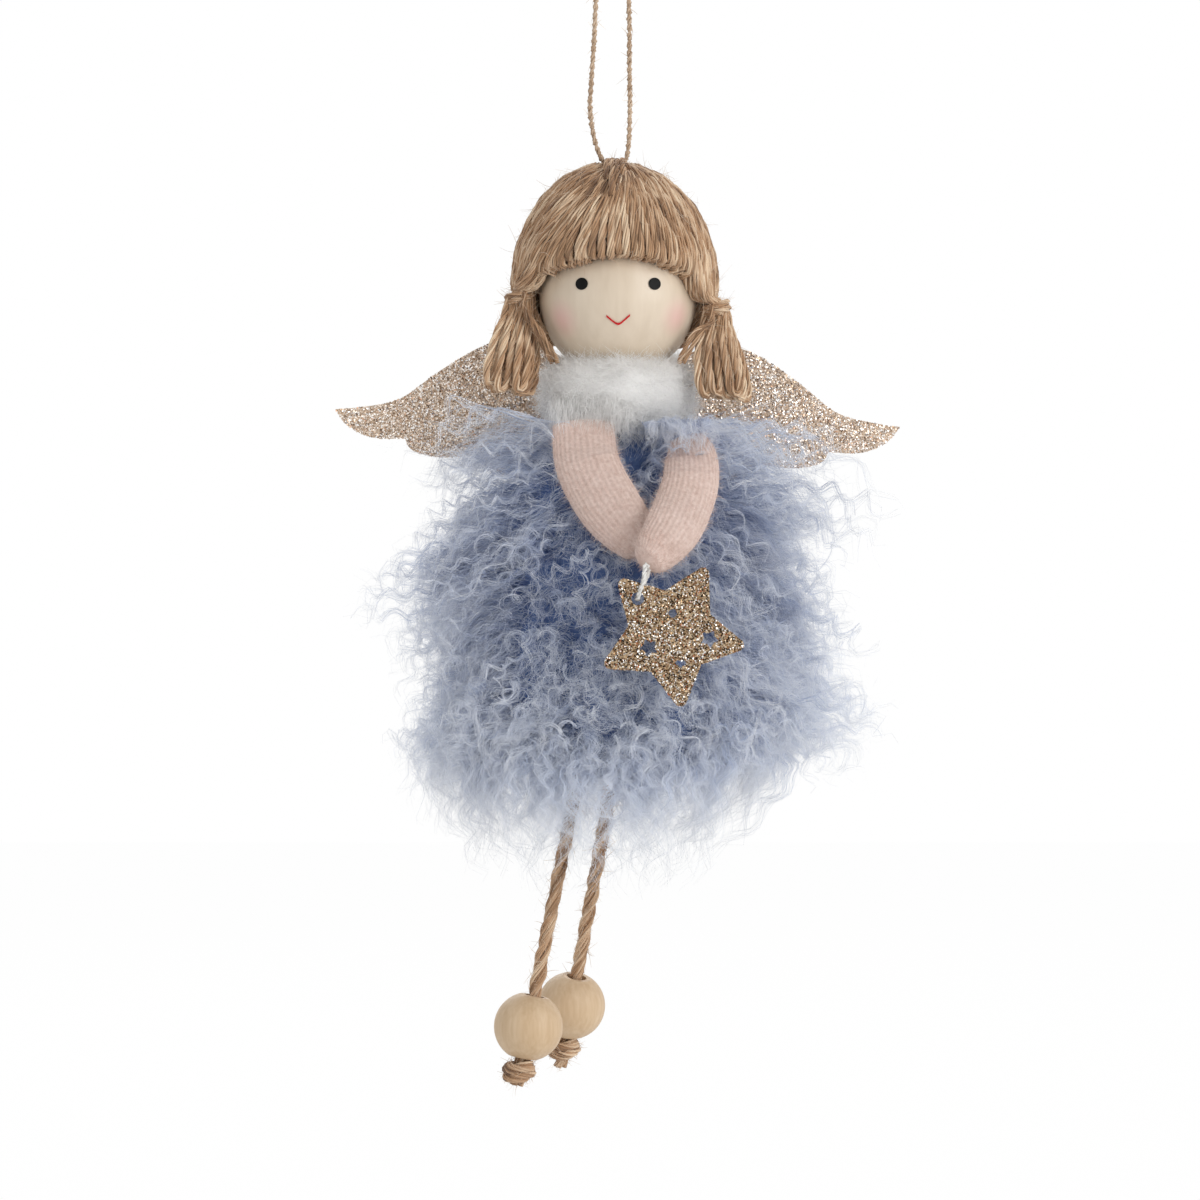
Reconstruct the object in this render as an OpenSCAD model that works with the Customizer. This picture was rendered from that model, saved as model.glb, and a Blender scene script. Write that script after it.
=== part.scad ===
// Hanging angel doll: a wooden ball head with tied yarn hair, a fur dress, knit arms
// that hold a star, flat wings, and cord legs with bead feet on a twine hanger.
// Millimetres. +Z is up, -Y is the front, and the origin is the inside top of the hanger loop.

/* [Head] */
// Diameter of the wooden ball that is the head
head_d = 30; // [28:0.5:31]
// Drop of the ball's centre below the inside top of the hanger loop
head_drop = 64.2; // [63:0.1:66]
// Diameter of the bore through the ball
head_bore_d = 4; // [3:0.1:6]
// Diameter of each painted eye
eye_d = 2.3; // [1.6:0.1:3]
// Distance between the centres of the eyes
eye_spacing = 13.7; // [10:0.1:16]
// Height of the eyes above the ball's centre
eye_rise = 1.8; // [0:0.1:4]
// Width of the painted smile
smile_w = 4.4; // [3:0.1:6]
// Height of the painted smile
smile_h = 1.5; // [0.8:0.1:1.9]
// Drop of the smile's lowest point below the ball's centre
smile_drop = 6; // [4:0.1:7]
// Width of the smile's brush line
smile_line = 0.4; // [0.2:0.05:0.6]
// Thickness of the paint
paint_t = 0.12; // [0.1:0.02:0.2]

/* [Hair] */
// Width of the hair at its widest level
hair_w = 40; // [38:0.5:42]
// Depth of the hair from front to back at its widest level
hair_depth = 37; // [36.5:0.5:40]
// Height of the hair's widest level above the ball's centre
hair_level = 2.4; // [1:0.1:4]
// Height of the crown above the widest level
hair_rise = 22; // [20:0.5:23]
// Depth of the back hair's curve below the widest level
hair_fall = 20; // [19:0.5:22]
// Drop of the back hair's lower edge below the ball's centre
nape_drop = 10.6; // [8:0.1:10.8]
// Height of the fringe's edge above the ball's centre, in the middle
fringe_rise = 6.8; // [5:0.1:9]
// Height of the fringe's edge above the ball's centre, at its ends
fringe_end_rise = 3.4; // [2:0.1:5]
// Half of the angle that the fringe spans round the head
fringe_half_angle = 45; // [40:1:50]
// Angle from the front to where the side hair meets the back hair
side_end_angle = 110; // [100:1:120]
// Strands in the fringe
fringe_strands = 18; // [12:1:20]
// Strands in the hair on each side
side_strands = 10; // [8:1:12]
// Strands in the back hair
back_strands = 20; // [14:1:24]
// Height of the strands' relief
strand_relief = 0.5; // [0.2:0.1:0.8]
// Diameter of the open middle of the crown
crown_hole_d = 7.6; // [7:0.1:9]

/* [Hair Ties] */
// Distance of each hair tie from the doll's middle
tie_reach = 18.6; // [18.4:0.1:20]
// Distance of each hair tie in front of the ball's centre
tie_forward = 3.5; // [2:0.1:5]
// Drop of the left hair tie below the ball's centre
left_tie_drop = 0; // [-1:0.1:3]
// Drop of the right hair tie below the ball's centre
right_tie_drop = 2.3; // [-1:0.1:3]
// Outer diameter of a hair tie
tie_d = 6.2; // [5.6:0.1:6.6]
// Diameter of the yarn wound as a hair tie
tie_yarn_d = 2; // [1.6:0.1:2.2]
// Width of each pigtail at its widest
pigtail_w = 12; // [9:0.5:12.5]
// Thickness of each pigtail at its thickest
pigtail_t = 7.5; // [5:0.5:8]
// Length of the left pigtail below its tie
left_pigtail_len = 19.4; // [16:0.1:20]
// Length of the right pigtail below its tie
right_pigtail_len = 18; // [16:0.1:18.5]
// Distance that a pigtail's end lies outside its tie
pigtail_out = 2; // [1.6:0.1:3]
// Distance that a pigtail's end lies in front of its tie
pigtail_forward = 6.4; // [6.2:0.1:7.5]

/* [Hanger] */
// Diameter of the hanger twine
twine_d = 1; // [0.8:0.1:1.1]
// Diameter of the yarn wound as the crown tie
crown_yarn_d = 1.7; // [1.5:0.1:1.8]
// Outer diameter of the crown tie's wraps
crown_tie_d = 6; // [5.4:0.1:6.4]
// Height of the crown tie's lowest wrap above the ball
crown_tie_rise = 2.65; // [1:0.05:4]
// Wraps of yarn in the crown tie
crown_wraps = 3; // [2:1:3]

/* [Scarf] */
// Outer diameter of the plush scarf
scarf_d = 30.8; // [28:0.2:31]
// Height of the scarf
scarf_h = 12.4; // [10:0.2:13]
// Drop of the scarf's top edge below the ball's centre
scarf_drop = 11.2; // [10:0.1:13]
// Diameter of the scarf's neck hole
scarf_hole_d = 10; // [9:0.2:12]
// Radius of the scarf's rounded edges
scarf_round = 4.6; // [3:0.1:4.8]

/* [Dress] */
// Width of the dress at its widest
dress_w = 79; // [74:0.5:86]
// Depth of the dress from front to back at its deepest
dress_depth = 56; // [54:0.5:60]
// Length of the dress from its neck to the lowest point of its hem
dress_len = 76.4; // [72:0.2:80]
// Width of the hollow inside the dress at its widest
dress_hollow_w = 50; // [48:0.5:54]
// Depth of the hollow inside the dress at its deepest
dress_hollow_depth = 37; // [36:0.5:40]
// Diameter of the neck opening
dress_neck_d = 9; // [8.6:0.1:10]
// Distance that the hem is raised at the two sides
hem_lift = 8; // [4:0.5:10]
// Folds round the dress
fold_count = 11; // [7:1:14]
// Height of the folds at the hem
fold_depth = 1.6; // [0.6:0.1:2]

/* [Arms] */
// Width of a knit arm
arm_w = 12; // [9:0.5:12]
// Thickness of a knit arm
arm_t = 4.6; // [4:0.2:6]
// Drop from the shoulders to the hands
arm_drop = 25; // [23:0.2:27]
// Distance of the right elbow from the doll's middle
arm_reach = 13; // [12:0.2:15]
// Drop of the shoulders below the dress's neck
shoulder_drop = 1.6; // [1.2:0.1:3]

/* [Star] */
// Radius of the star to the points where its straight edges would meet
star_r = 14.6; // [12:0.1:16]
// Radius of the star to its inner corners
star_inner_r = 7.9; // [7:0.1:9]
// Radius of the star's rounded points
star_tip_r = 1.1; // [0.6:0.1:1.4]
// Thickness of the star
star_t = 2; // [1.5:0.1:3]
// Distance of the star's centre to the right of the doll's middle
star_x = 9.6; // [8:0.1:11]
// Drop of the star's centre below the hands
star_drop = 13; // [12.8:0.1:15]
// Direction of the point that carries the string hole
star_angle = 134; // [126:1:142]
// Distance of the string hole from the star's centre
string_hole_reach = 8.8; // [8:0.1:9.5]
// Diameter of the string hole
string_hole_d = 2.4; // [2.2:0.1:3]
// Diameter of the thread that the star hangs on
thread_d = 1; // [0.8:0.1:1.1]
// Diameter of the round cut-out
round_cut_d = 1.6; // [1:0.1:2]
// Radius of the star-shaped cut-outs
star_cut_r = 1.8; // [1.2:0.1:2]
// Width of the heart-shaped cut-out
heart_cut_w = 2; // [1.2:0.1:2.2]

/* [Wings] */
// Span of the wings from tip to tip
wing_span = 109.4; // [100:0.2:116]
// Thickness of the wings' sheet
wing_t = 1.2; // [0.8:0.1:2]
// Drop of the wing tips' level below the ball's centre
wing_drop = 22.2; // [21:0.1:24]
// Tilt of the wings
wing_tilt = 1.8; // [0:0.1:3]

/* [Legs] */
// Diameter of the cord that the legs are made of
cord_d = 2.4; // [2:0.1:2.6]
// Diameter of a bead foot
bead_d = 13; // [11:0.1:14]
// Height of a bead foot between its flat ends
bead_h = 11.8; // [10:0.1:12]
// Diameter of a bead's bore
bead_bore_d = 3.8; // [3.4:0.1:4.4]
// Diameter of the cord wound in a stopper knot
knot_cord_d = 2.3; // [2:0.1:2.5]
// Outer diameter of a stopper knot
knot_d = 6.4; // [6:0.1:7]
// Outer diameter of the knot under the head
neck_knot_d = 7.6; // [6.4:0.1:8.2]

/* [Hidden] */

$fn = 64;
// Clearance between pieces that touch on the doll
seat_gap = 0.3;
// Clearance between a piece and what is glued or tied to it
glue_gap = 0.05;
// Overrun of every cut
overrun = 1;

// The twine runs from the crown tie's eye up round the loop and back down.
hanger_route = [
    [-0.8, 0, -39.8], [-2.1, 0, -39.2], [-3, 0, -38], [-4, 0, -35.6], [-4.8, 0, -32.4],
    [-5.3, 0, -28], [-5.1, 0, -24], [-4.7, 0, -18], [-4.4, 0, -13], [-4.2, 0, -8],
    [-3.7, 0, -4], [-2.4, 0, -0.8], [0, 0, 0.5], [1.7, 0, -1], [2.1, 0, -4], [2.1, 0, -8],
    [2.2, 0, -14], [2.2, 0, -20], [2.3, 0, -27], [2.2, 0, -32], [2, 0, -35.4],
    [1.5, 0, -38], [0.6, 0, -39.3], [-0.6, 0, -39.8]
];
// Each leg runs from under the neck knot to its tail below the stopper knot.
left_leg_route = [
    [-0.8, -2.2, -88.8], [-1.2, -2.8, -92], [-2, -4.2, -100], [-3, -6, -110], [-4, -7, -120],
    [-5.2, -7.1, -132], [-6.6, -7.1, -146], [-8.1, -7.1, -158], [-9.7, -7.1, -166],
    [-11.7, -7.1, -176], [-13.7, -7.1, -186], [-15.3, -7.1, -194], [-16.9, -7.1, -202],
    [-18.1, -7.1, -208], [-19.1, -7.1, -213]
];
right_leg_route = [
    [0.8, 2.2, -88.8], [0.8, 2.3, -92], [0.9, 2.6, -100], [0.9, 3, -110], [0.7, 3.4, -120],
    [0, 3.6, -134], [-1, 3.8, -148], [-2, 4, -160], [-3.2, 4.5, -168],
    [-5, 7, -178], [-6.8, 9.5, -188], [-8.91, 12.43, -199.7], [-9.99, 13.93, -205.7], [-11.07, 15.43, -211.7]
];
// The route points that the beads are threaded at
left_bead_index = 12;
right_bead_index = 11;
route_steps = 2;
cord_sides = 8;

head_r = head_d / 2;
head_z = -head_drop;
hair_z = head_z + hair_level;
hair_inner_r = head_r + seat_gap;
crown_x = (hanger_route[0].x + hanger_route[len(hanger_route) - 1].x) / 2;

scarf_top = head_z - scarf_drop;
dress_top = scarf_top - scarf_h - seat_gap;
shoulder_z = dress_top - shoulder_drop;
hands_z = shoulder_z - arm_drop;

// Reach of the dress to its left and right, and its depth, by the share of its length
dress_left_shares = [
    [0, 0.38], [0.025, 0.53], [0.065, 0.68], [0.12, 0.78], [0.21, 0.83], [0.31, 0.88], [0.44, 0.96],
    [0.6, 0.91], [0.75, 0.94], [0.87, 0.9], [0.95, 0.78], [1, 0.64]
];
dress_right_shares = [
    [0, 0.38], [0.025, 0.54], [0.065, 0.7], [0.12, 0.83], [0.21, 0.92], [0.31, 0.94], [0.44, 0.95],
    [0.6, 1], [0.75, 1.06], [0.87, 1.04], [0.95, 0.86], [1, 0.64]
];
dress_depth_shares = [
    [0, 0.36], [0.025, 0.44], [0.065, 0.5], [0.12, 0.56], [0.21, 0.67], [0.31, 0.78], [0.44, 0.89],
    [0.6, 0.96], [0.75, 1], [0.87, 0.96], [0.95, 0.86], [1, 0.74]
];
// Size of the hollow by the share of the dress's length, from the hem up
hollow_shares = [[0.985, 1], [0.85, 0.97], [0.6, 0.82], [0.35, 0.6], [0.16, 0.4], [0.05, 0.08], [0, 0]];
dress_sides = 44;

// Across, down, width and stacking of each arm from shoulder to hand
left_arm_shares = [
    [-0.5, 0, 0.96], [-0.47, 0.2, 1], [-0.33, 0.4, 1], [-0.1, 0.6, 0.98],
    [0.16, 0.77, 0.84], [0.32, 0.88, 0.62], [0.38, 0.92, 0.36]
];
left_arm_stack_shares = [[0, 0], [1, 0]];
right_arm_shares = [
    [0.95, 0.04, 0.5], [1.04, 0.2, 0.8], [1.04, 0.38, 0.88], [0.94, 0.56, 0.9],
    [0.78, 0.74, 0.88], [0.56, 0.9, 0.74], [0.42, 0.98, 0.52], [0.38, 1, 0.3]
];
right_arm_stack_shares = [[0, 0], [0.5, 0], [0.72, 1], [0.92, 1], [1, 1.6]];
arm_sides = 16;

// Half of the wings' outline by shares of the half span: upper edge, then three feather lobes
wing_top_shares = [[0, 0.06], [0.12, 0.15], [0.3, 0.26], [0.46, 0.25], [0.63, 0.15], [0.77, 0.045], [0.9, 0.012], [1, 0]];
wing_tip_lobe_shares = [[1, 0], [0.95, -0.06], [0.86, -0.096], [0.75, -0.095]];
wing_mid_lobe_shares = [[0.75, -0.095], [0.72, -0.138], [0.62, -0.158], [0.5, -0.145]];
wing_root_lobe_shares = [[0.5, -0.145], [0.44, -0.2], [0.28, -0.23], [0, -0.2]];
curve_steps = 4;

// Width of a pigtail by the share of its length below its tie
pigtail_width_shares = [[0.06, 0.4], [0.24, 0.68], [0.5, 0.94], [0.78, 1], [0.94, 0.9], [1, 0.68]];
pigtail_sides = 24;
pigtail_strands = 8;

function unit(v) = v / norm(v);

// Smooth curve through points, with a number of steps from each point to the next
function curve_point(points, i, t) =
    let (
        a = points[max(i - 1, 0)],
        b = points[i],
        c = points[i + 1],
        d = points[min(i + 2, len(points) - 1)]
    )
    (2 * b + (c - a) * t + (2 * a - 5 * b + 4 * c - d) * t * t + (3 * b - a - 3 * c + d) * t * t * t) / 2;

function curve(points, steps) = [
    for (i = [0 : len(points) - 2], k = [0 : steps - 1]) curve_point(points, i, k / steps),
    points[len(points) - 1]
];

function tangent(path, i) = unit(path[min(i + 1, len(path) - 1)] - path[max(i - 1, 0)]);

// Oval ring square to a path, with its flat side facing one way
function oval_ring(path, i, facing, half_w, half_t, sides) =
    let (
        along = tangent(path, i),
        across = unit(cross(along, facing)),
        out = cross(across, along)
    )
    [
        for (k = [0 : sides - 1])
            path[i] + across * half_w * cos(360 * k / sides) + out * half_t * sin(360 * k / sides)
    ];

function side_faces(from, to, sides) = [
    for (k = [0 : sides - 1])
        let (next = (k + 1) % sides)
        each [
            [from * sides + next, to * sides + next, to * sides + k],
            [from * sides + next, to * sides + k, from * sides + k]
        ]
];

// Strip of triangles across the end ring whose points start at one index
function cap_faces(start, sides) = [
    for (k = [0 : sides / 2 - 2])
        let (a = start + k, b = start + sides - 1 - k)
        each [[a, a + 1, b], [a + 1, b - 1, b]]
];

function flipped(faces) = [for (face = faces) [face[2], face[1], face[0]]];

// Solid through a row of rings, closed at both ends
module loft(rings) {
    sides = len(rings[0]);
    last = len(rings) - 1;
    polyhedron(
        points = [for (ring = rings) each ring],
        faces = concat(
            flipped(cap_faces(0, sides)),
            [for (i = [0 : last - 1]) each side_faces(i, i + 1, sides)],
            cap_faces(last * sides, sides)
        )
    );
}

// Solid through a row of rings whose last ring joins the first
module ring_loft(rings) {
    sides = len(rings[0]);
    count = len(rings);
    polyhedron(
        points = [for (ring = rings) each ring],
        faces = [for (i = [0 : count - 1]) each side_faces(i, (i + 1) % count, sides)]
    );
}

// Round cord along a route
module cord(route, d, sides, facing) {
    path = curve(route, route_steps);
    loft([for (i = [0 : len(path) - 1]) oval_ring(path, i, facing, d / 2, d / 2, sides)]);
}

// One wrap of yarn or cord about the Z axis
module wrap(outer_d, wound_d) {
    rotate_extrude()
        translate([(outer_d - wound_d) / 2, 0])
            circle(d = wound_d);
}

// Skin of the head between the paint's two faces
module paint_film() {
    difference() {
        sphere(r = head_r + glue_gap + paint_t);
        sphere(r = head_r + glue_gap);
    }
}

// Shape drawn on the front of the head and pressed through to its middle
module on_face() {
    intersection() {
        translate([0, 0, head_z])
            paint_film();
        rotate([90, 0, 0])
            linear_extrude(height = head_d)
                children();
    }
}

module head_ball() {
    color("#dccbb5")
        translate([0, 0, head_z])
            difference() {
                sphere(d = head_d);
                cylinder(d = head_bore_d, h = head_d + overrun, center = true);
            }
}

module painted_eyes() {
    color("#1c1a1a")
        for (side = [-1, 1])
            on_face()
                translate([side * eye_spacing / 2, head_z + eye_rise])
                    circle(d = eye_d);
}

// Two strokes that meet in a rounded point: across the smile and up it
smile_shares = [[-1, 1], [-0.55, 0.46], [-0.2, 0.1], [0, 0], [0.2, 0.1], [0.55, 0.52], [1, 1.1]];
function smile_point(share) = [share.x * smile_w / 2, share.y * smile_h];

module painted_smile() {
    color("#c4343a")
        on_face()
            translate([0, head_z - smile_drop])
                polygon(concat(
                    [for (share = smile_shares) smile_point(share)],
                    [for (i = [len(smile_shares) - 1 : -1 : 0]) smile_point(smile_shares[i]) + [0, smile_line]]
                ));
}

// Angle from the crown at which a round of the hair reaches a height
function hair_polar(z) = acos((z - hair_z) / (z > hair_z ? hair_rise : hair_fall));
function ball_polar(z) = acos((z - head_z) / hair_inner_r);

function hair_point(azimuth, polar, relief) =
    let (rise = polar < 90 ? hair_rise : hair_fall)
    [
        (hair_w / 2 - strand_relief + relief) * sin(polar) * sin(azimuth),
        -(hair_depth / 2 - strand_relief + relief) * sin(polar) * cos(azimuth),
        hair_z + (rise - strand_relief + relief) * cos(polar)
    ];

function ball_point(azimuth, polar) = [
    hair_inner_r * sin(polar) * sin(azimuth),
    -hair_inner_r * sin(polar) * cos(azimuth),
    head_z + hair_inner_r * cos(polar)
];

// Section of the hair from the crown to its edge and back along the ball
function hair_section(azimuth, edge_z, relief, rows) =
    let (
        outer_start = asin(crown_hole_d / hair_w),
        outer_end = hair_polar(edge_z),
        inner_start = asin(crown_hole_d / 2 / hair_inner_r),
        inner_end = ball_polar(edge_z)
    )
    concat(
        [for (k = [0 : rows]) ball_point(azimuth, inner_start + (inner_end - inner_start) * k / rows)],
        [for (k = [rows : -1 : 0]) hair_point(azimuth, outer_start + (outer_end - outer_start) * k / rows, relief)]
    );

columns_per_strand = 3;

// Layer of strands that lies on the ball from one azimuth to another
module hair_layer(from, to, strands, rows, edge) {
    columns = strands * columns_per_strand;
    loft([
        for (j = [0 : columns])
            let (share = j / columns)
            hair_section(
                from + (to - from) * share,
                edge(share),
                strand_relief * abs(sin(180 * strands * share)),
                rows
            )
    ]);
}

parting_angle = 0.6;

module back_hair() {
    color("#8f7157")
        hair_layer(
            side_end_angle + parting_angle, 360 - side_end_angle - parting_angle, back_strands, 8,
            function (share) head_z - nape_drop * sin(180 * share)
        );
}

module fringe() {
    color("#9c7b5e")
        hair_layer(
            -fringe_half_angle, fringe_half_angle, fringe_strands, 6,
            function (share) head_z + fringe_end_rise
                + (fringe_rise - fringe_end_rise) * sqrt(sin(180 * share))
        );
}

// Lowest level of the side hair, which is drawn together just above its tie
function side_edge(tie_drop) = head_z - tie_drop + tie_yarn_d + seat_gap;

module side_hair(side, tie_drop) {
    start = side > 0 ? fringe_half_angle + parting_angle : -side_end_angle;
    end = side > 0 ? side_end_angle : -fringe_half_angle - parting_angle;
    color("#a5856a")
        hair_layer(start, end, side_strands, 7, function (share) side_edge(tie_drop));
}

module left_side_hair() {
    side_hair(-1, left_tie_drop);
}

module right_side_hair() {
    side_hair(1, right_tie_drop);
}

module hair_tie(side, tie_drop) {
    color("#7f6249")
        translate([side * tie_reach, -tie_forward, head_z - tie_drop])
            for (level = [-1, 1])
                translate([0, 0, level * (tie_yarn_d + glue_gap) / 2])
                    wrap(tie_d, tie_yarn_d);
}

module left_hair_tie() {
    hair_tie(-1, left_tie_drop);
}

module right_hair_tie() {
    hair_tie(1, right_tie_drop);
}

function turn_of(k) = 360 * k / pigtail_sides;

// Bunch of strands that is drawn in by its tie and flares below it
module pigtail(side, tie_drop, length) {
    middle = [side * tie_reach, -tie_forward, head_z - tie_drop];
    neck_r = tie_d / 2 - tie_yarn_d - glue_gap;
    neck_end = tie_yarn_d + glue_gap;
    drop = length - neck_end;
    neck = [
        for (level = [tie_yarn_d, -neck_end])
            [
                for (k = [0 : pigtail_sides - 1])
                    middle + [neck_r * cos(turn_of(k)), neck_r * sin(turn_of(k)), level]
            ]
    ];
    bunch = [
        for (row = pigtail_width_shares)
            let (bend = row[0] ^ 1.5)
            [
                for (k = [0 : pigtail_sides - 1])
                    let (relief = strand_relief * row[1] * (abs(sin(turn_of(k) * pigtail_strands / 2)) - 1))
                    middle + [
                        side * pigtail_out * bend + (pigtail_w * row[1] / 2 + relief) * cos(turn_of(k)),
                        -pigtail_forward * bend + (pigtail_t * row[1] / 2 + relief) * sin(turn_of(k)),
                        -neck_end - drop * row[0]
                    ]
            ]
    ];
    color("#a98a6e")
        loft(concat(neck, bunch));
}

module left_pigtail() {
    pigtail(-1, left_tie_drop, left_pigtail_len);
}

module right_pigtail() {
    pigtail(1, right_tie_drop, right_pigtail_len);
}

// The eye has room for the twine, which the whole doll swings on
eye_ring_hole = twine_d + 2 * seat_gap;
eye_ring_d = eye_ring_hole + 2 * crown_yarn_d;
wraps_bottom = head_z + head_r + crown_tie_rise;
wraps_top = wraps_bottom + crown_wraps * crown_yarn_d;
eye_ring_z = wraps_top + (crown_yarn_d + eye_ring_hole) / 2;

module crown_tie() {
    color("#846649")
        translate([crown_x, 0, 0]) {
            translate([0, 0, eye_ring_z])
                rotate([0, 90, 0])
                    wrap(eye_ring_d, crown_yarn_d);
            for (k = [0 : crown_wraps - 1])
                translate([0, 0, wraps_top - (k + 0.5) * crown_yarn_d])
                    wrap(crown_tie_d, crown_yarn_d);
            translate([0, 0, wraps_bottom])
                cylinder(d = crown_tie_d - crown_yarn_d, h = crown_wraps * crown_yarn_d - crown_yarn_d / 2);
        }
}

neck_knot_wound_d = (scarf_h - (head_r - scarf_drop)) / 3;
neck_knot_top = head_z - head_r - seat_gap;

module neck_cord() {
    color("#a58a6c")
        translate([0, 0, neck_knot_top])
            cylinder(d = cord_d, h = wraps_bottom - neck_knot_top);
}

module neck_knot() {
    color("#8a6c50") {
        for (k = [0 : 2])
            translate([0, 0, neck_knot_top - (k + 0.5) * neck_knot_wound_d])
                wrap(neck_knot_d, neck_knot_wound_d);
        translate([0, 0, neck_knot_top - 3 * neck_knot_wound_d])
            cylinder(d = neck_knot_d - neck_knot_wound_d, h = 3 * neck_knot_wound_d);
    }
}

module hanger_cord() {
    color("#b39a7d")
        cord(hanger_route, twine_d, cord_sides, [0, 1, 0]);
}

module scarf() {
    inset = scarf_round;
    color("#efeeec")
        difference() {
            rotate_extrude()
                union() {
                    translate([scarf_hole_d / 2, scarf_top - scarf_h])
                        square([scarf_d / 2 - scarf_hole_d / 2 - inset, scarf_h]);
                    translate([scarf_d / 2 - inset - overrun, scarf_top - scarf_h + inset])
                        square([inset + overrun, scarf_h - 2 * inset]);
                    for (level = [scarf_top - inset, scarf_top - scarf_h + inset])
                        translate([scarf_d / 2 - inset, level])
                            circle(r = inset);
                }
            translate([0, 0, head_z])
                sphere(r = head_r + seat_gap);
        }
}

// Ring of the dress, with folds that deepen and a hem that lifts towards its sides
function dress_ring(share, left, right, half_d, depth) = [
    for (k = [0 : dress_sides - 1])
        let (
            turn = 360 * k / dress_sides,
            fold = depth * share * cos(turn * fold_count + 90 * share),
            lift = hem_lift * share ^ 4 * cos(turn) ^ 2
        )
        [((cos(turn) > 0 ? right : left) + fold) * cos(turn), (half_d + fold) * sin(turn),
            dress_top - dress_len * share + lift]
];

function dress_half_depth(z) = dress_depth / 2 * lookup((dress_top - z) / dress_len, dress_depth_shares);

module dress() {
    outside = [
        for (i = [0 : len(dress_left_shares) - 1])
            let (share = dress_left_shares[i][0], fold = fold_depth * share)
            dress_ring(
                share,
                dress_w / 2 * dress_left_shares[i][1] - fold,
                dress_w / 2 * dress_right_shares[i][1] - fold,
                dress_depth / 2 * dress_depth_shares[i][1] - fold,
                fold_depth
            )
    ];
    hollow = [
        for (row = hollow_shares)
            let (half_w = dress_neck_d / 2 + (dress_hollow_w - dress_neck_d) / 2 * row[1])
            dress_ring(
                row[0],
                half_w,
                half_w,
                dress_neck_d / 2 + (dress_hollow_depth - dress_neck_d) / 2 * row[1],
                0
            )
    ];
    color("#7f90b2")
        ring_loft(concat(outside, hollow));
}

// Stuffed knit arm that lies on the front of the dress
module arm(shares, stack_shares) {
    stops = [
        for (row = shares)
            let (
                z = shoulder_z - arm_drop * row[1],
                front = dress_half_depth(z) + seat_gap + arm_t / 2,
                stack = (arm_t + seat_gap) * lookup(row[1], stack_shares)
            )
            [arm_reach * row[0], -front - stack, z, arm_w * row[2]]
    ];
    smooth = curve(stops, route_steps);
    path = [for (stop = smooth) [stop[0], stop[1], stop[2]]];
    color("#d9beb2")
        loft([
            for (i = [0 : len(path) - 1])
                oval_ring(path, i, [0, -1, 0], smooth[i][3] / 2, min(arm_t, smooth[i][3]) / 2, arm_sides)
        ]);
}

module left_arm() {
    arm(left_arm_shares, left_arm_stack_shares);
}

module right_arm() {
    arm(right_arm_shares, right_arm_stack_shares);
}

// The star hangs just in front of the right hand, so that it can turn past it.
star_z = hands_z - star_drop;
star_back_y = -dress_half_depth(hands_z) - 2 * (arm_t + seat_gap) - seat_gap;
star_tip_half_angle = atan2(star_inner_r * sin(36), star_r - star_inner_r * cos(36));
tip_arc_steps = 6;

// Star outline with rounded points
function star_outline(r, inner_r, tip_r, half_angle) = [
    for (k = [0 : 4])
        each [
            for (i = [0 : tip_arc_steps])
                let (swing = (90 - half_angle) * (2 * i / tip_arc_steps - 1))
                (r - tip_r / sin(half_angle)) * [cos(72 * k), sin(72 * k)]
                    + tip_r * [cos(72 * k + swing), sin(72 * k + swing)],
            inner_r * [cos(72 * k + 36), sin(72 * k + 36)]
        ]
];

// Places of the cut-outs by shares of the star's radius
round_cut_shares = [0.02, 0.25];
right_star_cut_shares = [0.48, -0.07];
left_star_cut_shares = [-0.28, -0.18];
heart_cut_shares = [0.12, -0.37];
cut_inner_share = 0.6;

module star_cut(turn) {
    rotate(turn)
        polygon([
            for (k = [0 : 9])
                star_cut_r * (k % 2 == 0 ? 1 : cut_inner_share) * [cos(36 * k), sin(36 * k)]
        ]);
}

module heart_cut() {
    lobe_d = heart_cut_w / 2;
    for (side = [-1, 1])
        translate([side * lobe_d / 2, 0])
            circle(d = lobe_d);
    polygon([[-lobe_d, 0], [0, lobe_d / 2], [lobe_d, 0], [0, -lobe_d]]);
}

module star() {
    color("#b3946f")
        translate([star_x, star_back_y, star_z])
            rotate([90, 0, 0])
                linear_extrude(height = star_t)
                    difference() {
                        rotate(star_angle)
                            polygon(star_outline(star_r, star_inner_r, star_tip_r, star_tip_half_angle));
                        rotate(star_angle)
                            translate([string_hole_reach, 0])
                                circle(d = string_hole_d);
                        translate(star_r * round_cut_shares)
                            circle(d = round_cut_d);
                        translate(star_r * right_star_cut_shares)
                            star_cut(star_angle);
                        translate(star_r * left_star_cut_shares)
                            star_cut(star_angle - 20);
                        translate(star_r * heart_cut_shares)
                            heart_cut();
                    }
}

string_hole = [
    star_x + string_hole_reach * cos(star_angle),
    star_back_y - star_t / 2,
    star_z + string_hole_reach * sin(star_angle)
];
// Half of the thread loop's depth, clear of both faces of the star
loop_half = star_t / 2 + seat_gap + thread_d / 2;
// Height from the string hole to just under the hands
loop_rise = hands_z - arm_w * right_arm_shares[len(right_arm_shares) - 1][2] / 2 - seat_gap - string_hole.z;
// Distance that the thread's upper end lies to the right of the string hole
loop_shift = 1.2;
// The thread runs from the hands down in front of the star, through its hole and back up:
// sideways, deep and upward places by shares of its shift, half depth and rise
loop_shares = [
    [1, -1, 1], [0.9, -1.04, 0.7], [0.5, -1.06, 0.44], [0.2, -1.02, 0.2], [0, -0.6, 0.02], [0, 0, 0],
    [0, 0.6, 0.02], [0.2, 1.02, 0.2], [0.6, 1.06, 0.44], [1.1, 1.04, 0.7], [1.6, 1, 1]
];

module star_loop() {
    color("#f2f0ec")
        cord(
            [for (row = loop_shares) string_hole + [loop_shift * row[0], loop_half * row[1], loop_rise * row[2]]],
            thread_d, cord_sides, [1, 0, 0]
        );
}

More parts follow.
